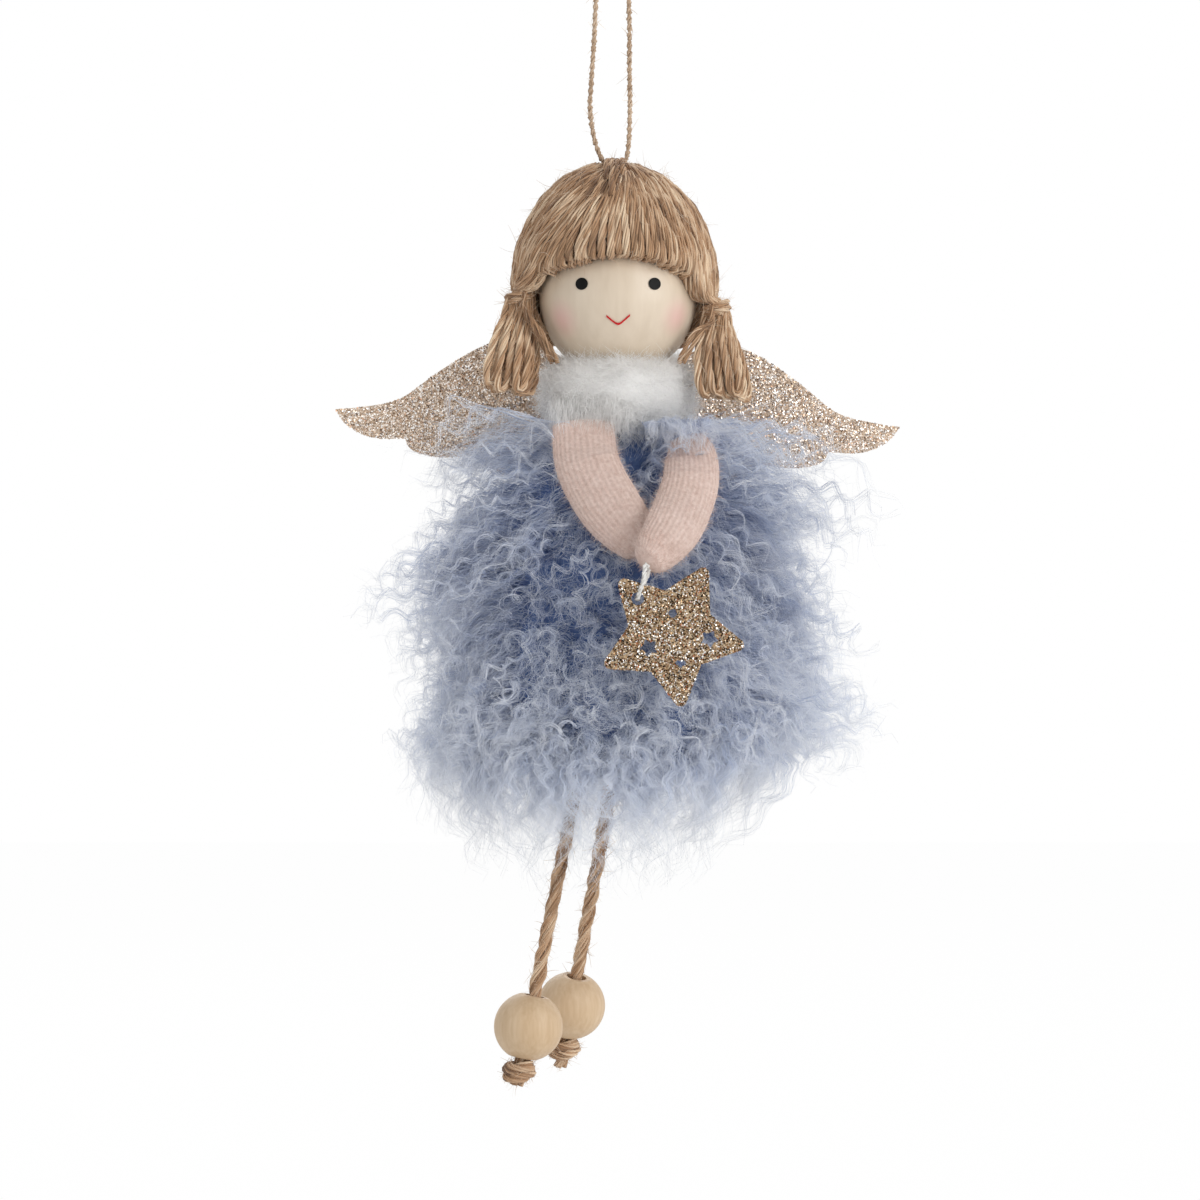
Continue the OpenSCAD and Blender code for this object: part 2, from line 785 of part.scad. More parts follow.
wing_half_outline = concat(
    curve(wing_top_shares, curve_steps),
    curve(wing_tip_lobe_shares, curve_steps),
    curve(wing_mid_lobe_shares, curve_steps),
    curve(wing_root_lobe_shares, curve_steps)
);
wing_other_half = [
    for (i = [len(wing_half_outline) - 2 : -1 : 1]) [-wing_half_outline[i].x, wing_half_outline[i].y]
];
wing_z = head_z - wing_drop;
wing_root_z = wing_z + wing_span / 2 * wing_root_lobe_shares[2][1];
wing_y = max(scarf_d / 2, dress_half_depth(wing_root_z)) + seat_gap;

module wings() {
    color("#c3a98c")
        translate([0, wing_y + wing_t, wing_z])
            rotate([0, wing_tilt, 0])
                rotate([90, 0, 0])
                    linear_extrude(height = wing_t)
                        polygon(wing_span / 2 * concat(wing_half_outline, wing_other_half));
}

module left_leg_cord() {
    color("#a08468")
        cord(left_leg_route, cord_d, cord_sides, [0, 1, 0]);
}

module right_leg_cord() {
    color("#a08468")
        cord(right_leg_route, cord_d, cord_sides, [0, 1, 0]);
}

// Stands a piece on a leg with its Z axis along the cord at one point of the route
module on_leg(route, index) {
    along = unit(route[index - 1] - route[index]);
    translate(route[index])
        rotate([0, acos(along.z), atan2(along.y, along.x)])
            children();
}

module foot_bead() {
    color("#d5b78f")
        intersection() {
            difference() {
                sphere(d = bead_d);
                cylinder(d = bead_bore_d, h = bead_d, center = true);
            }
            cylinder(d = bead_d + overrun, h = bead_h, center = true);
        }
}

module left_foot_bead() {
    on_leg(left_leg_route, left_bead_index)
        foot_bead();
}

module right_foot_bead() {
    on_leg(right_leg_route, right_bead_index)
        foot_bead();
}

// Two wraps of cord that stop the bead
module foot_knot() {
    top = -bead_h / 2 - seat_gap - knot_cord_d / 2;
    step = knot_cord_d * 0.9;
    color("#8d6d50")
        difference() {
            for (k = [0, 1])
                translate([0, 0, top - k * step])
                    wrap(knot_d, knot_cord_d);
            translate([0, 0, top - step - knot_cord_d])
                cylinder(d = cord_d + 2 * glue_gap, h = step + 2 * knot_cord_d);
        }
}

module left_foot_knot() {
    on_leg(left_leg_route, left_bead_index)
        foot_knot();
}

module right_foot_knot() {
    on_leg(right_leg_route, right_bead_index)
        foot_knot();
}

head_ball();
painted_eyes();
painted_smile();
back_hair();
fringe();
left_side_hair();
right_side_hair();
left_hair_tie();
right_hair_tie();
left_pigtail();
right_pigtail();
crown_tie();
neck_cord();
neck_knot();
hanger_cord();
scarf();
dress();
left_arm();
right_arm();
star();
star_loop();
wings();
left_leg_cord();
right_leg_cord();
left_foot_bead();
right_foot_bead();
left_foot_knot();
right_foot_knot();
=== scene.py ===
import math

import bpy
import numpy as np
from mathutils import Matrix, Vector
from mathutils.bvhtree import BVHTree


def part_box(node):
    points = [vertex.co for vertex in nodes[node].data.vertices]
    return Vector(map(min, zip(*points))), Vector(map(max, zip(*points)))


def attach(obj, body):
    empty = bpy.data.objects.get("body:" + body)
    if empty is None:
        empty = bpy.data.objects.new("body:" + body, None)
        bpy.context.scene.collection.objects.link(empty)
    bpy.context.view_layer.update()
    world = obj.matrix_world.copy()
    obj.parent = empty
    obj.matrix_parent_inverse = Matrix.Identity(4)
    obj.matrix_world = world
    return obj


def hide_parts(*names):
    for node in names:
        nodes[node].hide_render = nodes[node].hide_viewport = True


# Lengths are in millimetres, as in the CAD source, until a mesh is made. Materials and lamps take metres.
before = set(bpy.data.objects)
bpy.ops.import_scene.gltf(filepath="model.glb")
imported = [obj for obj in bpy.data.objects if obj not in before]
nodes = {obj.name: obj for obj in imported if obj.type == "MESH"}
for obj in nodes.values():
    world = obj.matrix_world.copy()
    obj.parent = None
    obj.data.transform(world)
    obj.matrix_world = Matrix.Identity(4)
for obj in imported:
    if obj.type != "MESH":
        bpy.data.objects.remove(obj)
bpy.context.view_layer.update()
MM = 0.001
GOLDEN_TURN = math.pi * (3 - math.sqrt(5))
# A slanted way, from which the side at a line's start is taken
SKEW = (0.31, 0.87, 0.38)
# How many sides a fibre has: flat ones lie loose, and tubes make up yarn and rope
FLAT = 2
TUBE = 4


# Camera, at the photograph's viewing angle
VIEW_CENTRE = (-3.4, -121.6)
VIEW_DISTANCE = 900
VIEW_WIDTH = 228
SENSOR = 36
camera = bpy.data.objects.new("camera", bpy.data.cameras.new("camera"))
camera.data.sensor_width = SENSOR
camera.data.lens = SENSOR * VIEW_DISTANCE / VIEW_WIDTH
camera.location = (VIEW_CENTRE[0] * MM, -VIEW_DISTANCE * MM, VIEW_CENTRE[1] * MM)
camera.rotation_euler = (math.pi / 2, 0, 0)
bpy.context.scene.collection.objects.link(camera)
bpy.context.scene.camera = camera
bpy.context.scene.view_settings.view_transform = "Standard"


# Points and lines

def unit(v):
    return v / np.maximum(np.linalg.norm(v, axis=-1, keepdims=True), 1e-9)


def spread(rng, low, high, *shape):
    return rng.uniform(low, high, shape)


def lengths_along(lines):
    """Distance along each of many lines, from 0 at its start."""
    steps = np.linalg.norm(np.diff(lines, axis=1), axis=2)
    return np.concatenate([np.zeros((len(lines), 1)), np.cumsum(steps, axis=1)], axis=1)


STEPS_PER_SPAN = 12


def curve_through(points, count):
    """count points spaced evenly on a smooth curve through the given points."""
    p = np.asarray(points, float)
    ends = np.vstack([2 * p[0] - p[1], p, 2 * p[-1] - p[-2]])
    t = np.linspace(0, 1, STEPS_PER_SPAN, endpoint=False)[:, None]
    parts = [
        0.5 * (2 * b + (c - a) * t + (2 * a - 5 * b + 4 * c - d) * t**2 + (3 * b - a - 3 * c + d) * t**3)
        for a, b, c, d in zip(ends, ends[1:], ends[2:], ends[3:])
    ]
    fine = np.vstack([*parts, p[-1:]])
    along = lengths_along(fine[None])[0]
    even = np.linspace(0, along[-1], count)
    return np.stack([np.interp(even, along, fine[:, k]) for k in range(p.shape[1])], axis=1)


def frames(lines):
    """Tangent, side and up at each point of many lines, carried along without twist."""
    tangent = unit(np.gradient(lines, axis=1))
    side = np.empty_like(lines)
    side[:, 0] = unit(np.cross(tangent[:, 0], SKEW))
    for i in range(1, lines.shape[1]):
        before, ahead = side[:, i - 1], tangent[:, i]
        side[:, i] = unit(before - (before * ahead).sum(-1, keepdims=True) * ahead)
    return tangent, side, np.cross(tangent, side)


def around(angle, side, up):
    """The way out from a line at an angle round it."""
    return np.cos(angle)[..., None] * side + np.sin(angle)[..., None] * up


# How far a twisted fibre strays in and out, as a share of the radius
WOBBLE = 0.12


def twisted(rng, routes, radius, fibres, pitch):
    """Fibre lines that wind round each route, packed in a circle of that radius."""
    _, side, up = frames(routes)
    along = lengths_along(routes)[:, None, :]
    k = np.arange(fibres)[None, :, None]
    count = len(routes)
    phase = spread(rng, 0, 2 * math.pi, count, 1, 1)
    angle = phase + k * GOLDEN_TURN + 2 * math.pi * along / pitch
    sway = np.sin(along / pitch * spread(rng, 2, 6, count, fibres, 1) + spread(rng, 0, 6, count, fibres, 1))
    reach = radius * (np.sqrt((k + 0.5) / fibres) + WOBBLE * sway)
    lines = routes[:, None] + reach[..., None] * around(angle, side[:, None], up[:, None])
    return lines.reshape(count * fibres, routes.shape[1], 3)


def plied(rng, route, radius, plies, ply_pitch, fibres, fibre_pitch):
    """Fibre lines of a rope whose plies wind round the route, and whose fibres wind round each ply."""
    _, side, up = frames(route[None])
    along = lengths_along(route[None])[0]
    ply_routes = []
    for k in range(plies):
        angle = 2 * math.pi * (along / ply_pitch + k / plies)
        ply_routes.append(route + radius / 2 * around(angle, side[0], up[0]))
    return twisted(rng, np.array(ply_routes), radius / 2, fibres, fibre_pitch)


def bent(root, size, way, bend, points):
    """Short lines that leave each root along its way and bend off it."""
    s = np.linspace(0, 1, points)[None, :, None]
    return root[:, None] + size * (way[:, None] * s + bend[:, None] * s**2)


def bowed(root, knee, tip, points):
    """Lines from each root to its tip, drawn towards a knee."""
    s = np.linspace(0, 1, points)[None, :, None]
    return root[:, None] * (1 - s) ** 2 + knee[:, None] * (2 * s * (1 - s)) + tip[:, None] * s**2


# How far a loose hair bends, and its length as a share of the longest
HAIR_BENDS = (0.2, 0.8)
HAIR_SHARES = (0.3, 1)


def loose_hairs(rng, lines, count, length, lift, points=6):
    """Short curved hairs that stand off from random places on the given lines."""
    tangent, side, up = frames(lines)
    i = rng.integers(0, len(lines), count)
    j = rng.integers(1, lines.shape[1] - 1, count)
    out = around(spread(rng, 0, 2 * math.pi, count), side[i, j], up[i, j])
    way = unit(tangent[i, j] * np.sign(spread(rng, -1, 1, count, 1)) + lift * out)
    bend = unit(spread(rng, -1, 1, count, 3)) * spread(rng, *HAIR_BENDS, count, 1)
    size = length * spread(rng, *HAIR_SHARES, count, 1)[:, None]
    return bent(lines[i, j], size, way, bend, points)


# Meshes

def mesh_object(name, points, quads, caps=None, smooth=True):
    """A mesh object of quads, and of caps that share one count of corners, from points in millimetres."""
    groups = [quads] if caps is None else [quads, caps]
    mesh = bpy.data.meshes.new(name)
    mesh.vertices.add(len(points))
    mesh.vertices.foreach_set("co", (np.asarray(points) * MM).astype(np.float32).ravel())
    corners = np.concatenate([g.ravel() for g in groups]).astype(np.int32)
    sizes = np.concatenate([np.full(len(g), g.shape[1]) for g in groups])
    mesh.loops.add(len(corners))
    mesh.loops.foreach_set("vertex_index", corners)
    mesh.polygons.add(len(sizes))
    mesh.polygons.foreach_set("loop_start", (np.cumsum(sizes) - sizes).astype(np.int32))
    mesh.polygons.foreach_set("use_smooth", np.full(len(sizes), smooth))
    mesh.update(calc_edges=True)
    obj = bpy.data.objects.new(name, mesh)
    bpy.context.scene.collection.objects.link(obj)
    return obj


def note(obj, name, values):
    """Keeps a number at each point of a mesh, for its material."""
    held = obj.data.attributes.new(name, "FLOAT", "POINT")
    held.data.foreach_set("value", np.asarray(values, np.float32).ravel())


# Share of each cell of the bake map that stays clear round a fibre or a flake
CELL_MARGIN = 0.1


def cells(count):
    """The place of each of count cells in a square grid, and how many cells wide the grid is."""
    grid = math.ceil(math.sqrt(count))
    return np.stack([np.arange(count) % grid, np.arange(count) // grid], axis=-1), grid


def bake_map(obj, places):
    """Gives a mesh its map for baked colours, with a place for each corner of its faces."""
    layer = obj.data.uv_layers.new(name="OFBake")
    layer.data.foreach_set("uv", places.astype(np.float32).ravel())


def dress_up(obj, material, body, slot, *replaced):
    """Gives a piece its material and its body, and hides the CAD nodes that it stands for. The slot is not
    used.
    """
    obj.data.materials.append(material)
    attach(obj, body)
    if replaced:
        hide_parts(*replaced)


def strands(name, lines, radius, sides, tone, look, tip=0.35):
    """One piece of fibres, flat with 2 sides and closed with more, each in its own cell of the bake map."""
    count, steps = lines.shape[:2]
    _, side, up = frames(lines)
    along = np.linspace(0, 1, steps)
    thick = np.broadcast_to(radius, (count,))[:, None] * (1 - (1 - tip) * along**2)
    turn = GOLDEN_TURN * np.arange(count)[:, None] + 2 * math.pi * np.arange(sides) / sides
    ring = around(turn[:, None], side[:, :, None], up[:, :, None])
    points = lines[:, :, None] + thick[:, :, None, None] * ring

    base = (np.arange(count) * steps * sides)[:, None, None]
    row = (np.arange(steps - 1) * sides)[None, :, None]
    faces = sides if sides > 2 else 1
    k = np.arange(faces)[None, None, :]
    a, b = base + row + k, base + row + (k + 1) % sides
    quads = np.stack([a, b, b + sides, a + sides], axis=-1).reshape(-1, 4)
    caps = None
    if sides > 2:
        first = base[:, 0] + np.arange(sides)[::-1]
        last = base[:, 0] + (steps - 1) * sides + np.arange(sides)
        caps = np.concatenate([first, last])
    obj = mesh_object(name, points.reshape(-1, 3), quads, caps)

    note(obj, "along", np.broadcast_to(along[None, :, None], (count, steps, sides)))
    note(obj, "tone", np.broadcast_to(np.asarray(tone)[:, None, None], (count, steps, sides)))

    cell, grid = cells(count)
    u = np.stack([k, k + 1, k + 1, k], axis=-1) / faces + np.zeros((1, steps - 1, 1, 1))
    v = np.stack([row, row, row + sides, row + sides], axis=-1) / (sides * (steps - 1))
    v = v + np.zeros((1, 1, faces, 1))
    side_map = cell[:, None, None, None] + CELL_MARGIN + (1 - 2 * CELL_MARGIN) * np.stack([u, v], axis=-1)
    maps = [side_map.reshape(-1, 2)]
    if sides > 2:
        angle = 2 * math.pi * np.arange(sides) / sides
        dot = CELL_MARGIN / 4 * np.stack([np.cos(angle), np.sin(angle)], axis=-1)
        for place in (CELL_MARGIN / 2, 1 - CELL_MARGIN / 2):
            maps.append((cell[:, None] + (CELL_MARGIN / 2, place) + dot).reshape(-1, 2))
    bake_map(obj, np.concatenate(maps) / grid)
    dress_up(obj, *look)
    return obj


def loose_fibres(name, rng, lines, radius, look, tones=(0.2, 0.9)):
    """One piece of loose flat fibres, each in a tone of its own."""
    return strands(name, lines, radius, FLAT, spread(rng, *tones, len(lines)), look)


def grid_object(name, points):
    """A smooth mesh over rows of points, closed round each row, with its two end rows left open."""
    rows, cols = points.shape[:2]
    i = np.arange(rows - 1)[:, None] * cols
    k = np.arange(cols)[None, :]
    k_next = (k + 1) % cols
    quads = np.stack([i + k, i + k_next, i + cols + k_next, i + cols + k], axis=-1).reshape(-1, 4)
    return mesh_object(name, points.reshape(-1, 3), quads)


# Materials

def rgb(red, green, blue):
    """A colour as it shows on screen, 0 to 255, in the numbers that a shader takes."""
    shown = np.array([red, green, blue]) / 255
    linear = np.where(shown <= 0.04045, shown / 12.92, ((shown + 0.055) / 1.055) ** 2.4)
    return (*(float(x) for x in linear), 1.0)


def shader_of(material):
    return material.node_tree.nodes["Principled BSDF"]


def finish_of(name, roughness, **values):
    """A new material, with constant settings on its shader's own sockets."""
    material = bpy.data.materials.new(name)
    material.use_nodes = True
    shader = shader_of(material)
    shader.inputs["Roughness"].default_value = roughness
    for key, value in values.items():
        shader.inputs[key.replace("_", " ")].default_value = value
    return material


def add_node(material, kind, inputs=(), **settings):
    """A node with its inputs set, or linked where the value is another node's output."""
    node = material.node_tree.nodes.new(kind)
    for key, value in settings.items():
        setattr(node, key, value)
    for key, value in dict(inputs).items():
        if isinstance(value, bpy.types.NodeSocket):
            material.node_tree.links.new(value, node.inputs[key])
        else:
            node.inputs[key].default_value = value
    return node


def ramp(material, factor, *stops):
    """Colours between the stops, each a place and a colour."""
    node = add_node(material, "ShaderNodeValToRGB", {"Fac": factor})
    elements = node.color_ramp.elements
    while len(elements) < len(stops):
        elements.new(0.5)
    for element, (place, colour) in zip(elements, stops):
        element.position = place
        element.color = colour
    return node.outputs["Color"]


def mixed(material, factor, first, second):
    values = {0: factor, 6: first, 7: second}
    return add_node(material, "ShaderNodeMix", values, data_type="RGBA").outputs[2]


def maths(material, operation, *values):
    return add_node(material, "ShaderNodeMath", enumerate(values), operation=operation).outputs[0]


def attribute(material, name):
    return add_node(material, "ShaderNodeAttribute", attribute_name=name).outputs["Fac"]


def noise(material, scale, detail=2.0, stretch=(1, 1, 1)):
    """Noise over the object's own coordinates, in metres, stretched along its axes."""
    place = add_node(material, "ShaderNodeTexCoord").outputs["Object"]
    mapping = add_node(material, "ShaderNodeMapping", {"Vector": place, "Scale": stretch})
    values = {"Vector": mapping.outputs["Vector"], "Scale": scale, "Detail": detail}
    return add_node(material, "ShaderNodeTexNoise", values).outputs["Fac"]


def bump(material, height, strength, distance):
    values = {"Height": height, "Strength": strength, "Distance": distance}
    node = add_node(material, "ShaderNodeBump", values)
    material.node_tree.links.new(node.outputs["Normal"], shader_of(material).inputs["Normal"])


def colour(material, socket):
    material.node_tree.links.new(socket, shader_of(material).inputs["Base Color"])


def blended(material, share, other):
    """Shows a share of another shader over the material's own."""
    values = {0: share, 1: shader_of(material).outputs[0], 2: other.outputs[0]}
    blend = add_node(material, "ShaderNodeMixShader", values)
    output = material.node_tree.nodes["Material Output"]
    material.node_tree.links.new(blend.outputs[0], output.inputs["Surface"])


def grained(name, roughness, scale, detail, dark, light, strength, depth, stretch=(1, 1, 1), **values):
    """A material whose fine grain shows in its colour, between two stops, and in its relief."""
    material = finish_of(name, roughness, **values)
    grain = noise(material, scale, detail, stretch)
    colour(material, ramp(material, grain, dark, light))
    bump(material, grain, strength, depth)
    return material


# Patches of paler and darker fibre, their size and strength, and how late a fibre pales towards its tip
PATCHES_PER_METRE = 170.0
PATCH_CONTRAST = 1.0
# The paler tip is painted light: tips in the light, with painted shade deeper in the fibres
LIT_TIP_POWER = 1.6


def strand_finish(name, roughness, dark, middle, light, tip, lit_tip_share, glow, sheen):
    """A fibre material: darker and lighter fibres and patches, paler tips as painted light, light let
    through.
    """
    material = finish_of(name, roughness, Sheen_Weight=sheen)
    patch = noise(material, PATCHES_PER_METRE)
    mood = maths(material, "MULTIPLY_ADD", patch, PATCH_CONTRAST, -PATCH_CONTRAST / 2)
    shade = maths(material, "ADD", attribute(material, "tone"), mood)
    body = ramp(material, shade, (0.0, rgb(*dark)), (0.5, rgb(*middle)), (1.0, rgb(*light)))
    late = maths(material, "POWER", attribute(material, "along"), LIT_TIP_POWER)
    shown = mixed(material, maths(material, "MULTIPLY", late, lit_tip_share), body, rgb(*tip))
    colour(material, shown)
    if glow:
        blended(material, glow, add_node(material, "ShaderNodeBsdfTranslucent", {"Color": shown}))
    return material


# The tip colour and the tip's share paint light on the fibres' tips
# For each fibre: roughness, dark, middle, light and tip colour, the tip's share, light let through, sheen
FIBRES = {
    "jute_yarn": (0.72, (104, 72, 46), (178, 139, 104), (232, 208, 178), (198, 163, 127), 0.2, 0, 0.15),
    "jute_fuzz": (0.7, (170, 138, 108), (206, 180, 152), (236, 220, 200), (236, 220, 200), 0.5, 0.3, 0),
    "twine": (0.72, (142, 114, 88), (194, 168, 142), (226, 206, 184), (204, 180, 154), 0.2, 0, 0),
    "blue_fur": (0.6, (64, 90, 144), (146, 165, 201), (222, 228, 240), (247, 248, 250), 0.83, 0.48, 0.2),
    "white_plush": (
        0.65, (236, 235, 234), (247, 246, 245), (253, 253, 252), (253, 253, 252), 0.5, 0.45, 0.2
    ),
    "pink_fuzz": (0.7, (206, 180, 168), (226, 204, 194), (240, 224, 216), (240, 226, 220), 0.5, 0.3, 0),
    "white_thread": (0.6, (206, 204, 200), (232, 230, 226), (246, 245, 242), (244, 243, 240), 0.3, 0, 0),
}
jute, jute_fuzz, twine, blue_fur, white_plush, pink_fuzz, white_thread = (
    strand_finish(name, *look) for name, look in FIBRES.items()
)


# The cords: the routes are those of the CAD source

HANGER_ROUTE = [
    (-0.8, 0, -39.8), (-2.1, 0, -39.2), (-3, 0, -38), (-4, 0, -35.6), (-4.8, 0, -32.4), (-5.3, 0, -28),
    (-5.1, 0, -24), (-4.7, 0, -18), (-4.4, 0, -13), (-4.2, 0, -8), (-3.7, 0, -4), (-2.4, 0, -0.8),
    (0, 0, 0.5), (1.7, 0, -1), (2.1, 0, -4), (2.1, 0, -8), (2.2, 0, -14), (2.2, 0, -20), (2.3, 0, -27),
    (2.2, 0, -32), (2, 0, -35.4), (1.5, 0, -38), (0.6, 0, -39.3), (-0.6, 0, -39.8),
]
LEFT_LEG_ROUTE = [
    (-0.8, -2.2, -88.8), (-1.2, -2.8, -92), (-2, -4.2, -100), (-3, -6, -110), (-4, -7, -120),
    (-5.2, -7.1, -132), (-6.6, -7.1, -146), (-8.1, -7.1, -158), (-9.7, -7.1, -166), (-11.7, -7.1, -176),
    (-13.7, -7.1, -186), (-15.3, -7.1, -194), (-16.9, -7.1, -202), (-18.1, -7.1, -208), (-19.1, -7.1, -213),
]
RIGHT_LEG_ROUTE = [
    (0.8, 2.2, -88.8), (0.8, 2.3, -92), (0.9, 2.6, -100), (0.9, 3, -110), (0.7, 3.4, -120), (0, 3.6, -134),
    (-1, 3.8, -148), (-2, 4, -160), (-3.2, 4.5, -168), (-5, 7, -178), (-6.8, 9.5, -188),
    (-8.91, 12.43, -199.7), (-9.99, 13.93, -205.7), (-11.07, 15.43, -211.7),
]
TWINE_D = 1.0
LEG_D = 2.4
ROPE_POINTS_PER_MM = 1.6
# A fibre winds a little tighter than its ply, and fibres overlap to fill the ply
FIBRE_PITCH_SHARE = 0.8
FIBRE_OVERLAP = 1.5
ROPE_HAIR_R = 0.05
ROPE_HAIR_LIFT = 0.7
ROPE_TONES = (0.15, 0.85)
ROPE_HAIR_TONES = (0.3, 0.9)


def rope(name, rng, route, diameter, plies, ply_pitch, fibres, hairs, hair_length, look, fuzz=jute_fuzz):
    """A rope of twisted fibres along a route, its loose hairs, and the smooth route that it follows."""
    length = float(lengths_along(np.array([route], float))[0, -1])
    path = curve_through(route, int(length * ROPE_POINTS_PER_MM))
    lines = plied(rng, path, diameter / 2, plies, ply_pitch, fibres, ply_pitch * FIBRE_PITCH_SHARE)
    thickness = diameter / 4 * FIBRE_OVERLAP / math.sqrt(fibres)
    tone = spread(rng, *ROPE_TONES, len(lines))
    cord = strands(name, lines, thickness, TUBE, tone, look, tip=1.0)
    _, body, slot, _ = look
    loose = loose_hairs(rng, lines, hairs, hair_length, ROPE_HAIR_LIFT)
    hair_look = (fuzz, body, slot)
    hair_piece = loose_fibres(name + "_hairs", rng, loose, ROPE_HAIR_R, hair_look, ROPE_HAIR_TONES)
    return cord, hair_piece, path


rng = np.random.default_rng(11)
hanger, hanger_hairs, hanger_path = rope(
    "hanger_twine", rng, HANGER_ROUTE, TWINE_D, plies=2, ply_pitch=3.2, fibres=5, hairs=170,
    hair_length=2.2, look=(twine, "hanger", "twine", "hanger_cord"),
)


# Where a coil starts: on the side that is square to this way and to the coil's axis
COIL_START = (0.2, 1.0, 0.1)


def wound(axis_at, axis, radius, pitch, turns, points):
    """A coil round an axis, from its top down, with its middle at axis_at."""
    axis = unit(np.asarray(axis, float))
    side = unit(np.cross(axis, COIL_START))
    up = np.cross(axis, side)
    angle = np.linspace(0, 2 * math.pi * turns, points)
    rise = pitch * (angle / (2 * math.pi) - turns / 2)
    return np.asarray(axis_at) + radius * around(angle, side, up) + rise[:, None] * axis


# The beads, and the coiled knots below them
BEAD_HALF_H = 5.9
KNOT_CORD_D = 2.3
KNOT_D = 6.4
KNOT_GAP = 0.3
KNOT_TILT = 0.2
KNOT_PITCH = KNOT_CORD_D * 0.6
JUTE_PITCH = 15.0
# Fur that clings to a leg under the hem: from which height to which, how many hairs, and their radius
FUR_ON_LEG = (-156, -169)
FUR_HAIRS_ON_LEG = 420
FUR_HAIR_R = 0.045
# Each leg's side, its route, and which point of the route its bead is at
LEGS = [("left", LEFT_LEG_ROUTE, 12), ("right", RIGHT_LEG_ROUTE, 11)]
for name, route, bead_at in LEGS:
    leg, leg_hairs, leg_path = rope(
        name + "_leg_rope", rng, route, LEG_D, plies=3, ply_pitch=JUTE_PITCH, fibres=11, hairs=2000,
        hair_length=3.2, look=(jute, name + "_leg", "jute_cord", name + "_leg_cord"),
    )
    under_hem = leg_path[(leg_path[:, 2] < FUR_ON_LEG[0]) & (leg_path[:, 2] > FUR_ON_LEG[1])]
    leg_skin = twisted(rng, under_hem[None], LEG_D / 2, fibres=8, pitch=20)
    clinging = loose_hairs(rng, leg_skin, FUR_HAIRS_ON_LEG, length=4.4, lift=0.6, points=9)
    look = (blue_fur, name + "_leg", "blue_fur")
    leg_fur = loose_fibres(name + "_leg_fur", rng, clinging, FUR_HAIR_R, look, tones=(0.7, 1.2))
    bead = np.array(route[bead_at])
    along = unit(np.array(route[bead_at + 1]) - np.array(route[bead_at - 1]))
    knot_at = bead + along * (BEAD_HALF_H + KNOT_GAP + KNOT_CORD_D)
    tilted = along + KNOT_TILT * np.cross(along, (0, 1, 0)) + KNOT_TILT * np.array([0, 1, 0])
    coil = wound(knot_at, tilted, (KNOT_D - KNOT_CORD_D) / 2, KNOT_PITCH, turns=1.7, points=60)
    knot, knot_hairs, _ = rope(
        name + "_knot_rope", rng, coil, KNOT_CORD_D, plies=3, ply_pitch=JUTE_PITCH, fibres=10, hairs=420,
        hair_length=2.2, look=(jute, name + "_leg", "jute_cord", name + "_foot_knot"),
    )

# The cord inside the head and its knot under it, which the scarf hides
NECK_ROUTE = [(0, 0, -46.6), (0, 0, -58), (0, 0, -68), (0, 0, -79.4)]
NECK_KNOT_AT = (0, 0, -83.8)
NECK_KNOT_CORD_D = 2.8
NECK_PITCH = 8.5
rope(
    "neck_rope", rng, NECK_ROUTE, LEG_D, plies=2, ply_pitch=NECK_PITCH, fibres=7, hairs=20, hair_length=1.0,
    look=(jute, "doll", "jute_cord", "neck_cord"),
)
neck_coil = wound(NECK_KNOT_AT, (0, 0, -1), radius=2.3, pitch=NECK_KNOT_CORD_D, turns=3.0, points=70)
rope(
    "neck_knot_rope", rng, neck_coil, NECK_KNOT_CORD_D, plies=2, ply_pitch=NECK_PITCH, fibres=9, hairs=40,
    hair_length=1.2, look=(jute, "doll", "jute_cord", "neck_knot"),
)


# The dress: a gathered fur cloth with curly locks of fibre

DRESS_TOP = -88.1
DRESS_LEN = 76.4
HEM_LIFT = 8
DRESS_HALF_D = 28
# Shares of the dress's length, and of its half depth there
SHARES = [0, 0.025, 0.065, 0.12, 0.21, 0.31, 0.44, 0.6, 0.75, 0.87, 0.95, 1]
DEPTH_SHARES = [0.36, 0.44, 0.5, 0.56, 0.67, 0.78, 0.89, 0.96, 1, 0.96, 0.86, 0.74]
# Shares of the dress's length, and half the cloth's width and depth there
CLOTH_SHARES = [0, 0.05, 0.16, 0.35, 0.6, 0.87]
CLOTH_HALF_W = [6, 11, 19, 23, 26, 27.5]
CLOTH_HALF_D = [6, 8, 11.5, 15, 18, 19.5]
CLOTH_TOP = 0.01
CLOTH_HEM = 0.87
CLOTH_T = 0.8
CLOTH_GRID = (176, 60)
FOLDS = 11
FOLD_DEPTH = 1.2
# How far the fur reaches from the middle of the dress, from the hem's lowest locks up to the neck
FUR_HEIGHTS = [-170, -161, -154, -148, -141, -133, -126, -118, -110, -102, -95, -88]
FUR_LEFT = [27, 36, 40, 40, 38, 38, 43, 42, 38, 36, 40, 38]
FUR_RIGHT = [17, 23, 37, 46, 45, 43, 42, 39, 43, 43, 39, 34]
FUR_DEEP = [20, 25, 29, 31, 31, 30, 29, 27, 24, 21, 17, 12]


def ring_point(turn, share, half_w, half_d):
    lift = HEM_LIFT * share**4 * np.cos(turn) ** 2
    height = DRESS_TOP - DRESS_LEN * share + lift
    return np.stack([half_w * np.cos(turn), half_d * np.sin(turn), height], axis=-1)


def cloth_point(turn, share, inset=0.0):
    """A place on the fur cloth, which gathers into folds towards its hem."""
    fold = FOLD_DEPTH * share * np.cos(FOLDS * turn) - inset
    half_w = np.interp(share, CLOTH_SHARES, CLOTH_HALF_W) + fold
    half_d = np.interp(share, CLOTH_SHARES, CLOTH_HALF_D) + fold
    return ring_point(turn, share, half_w, half_d)


def cloth_normal(turn, share):
    step = 0.004
    across = cloth_point(turn + step, share) - cloth_point(turn - step, share)
    down = cloth_point(turn, share + step) - cloth_point(turn, share - step)
    return unit(np.cross(down, across))


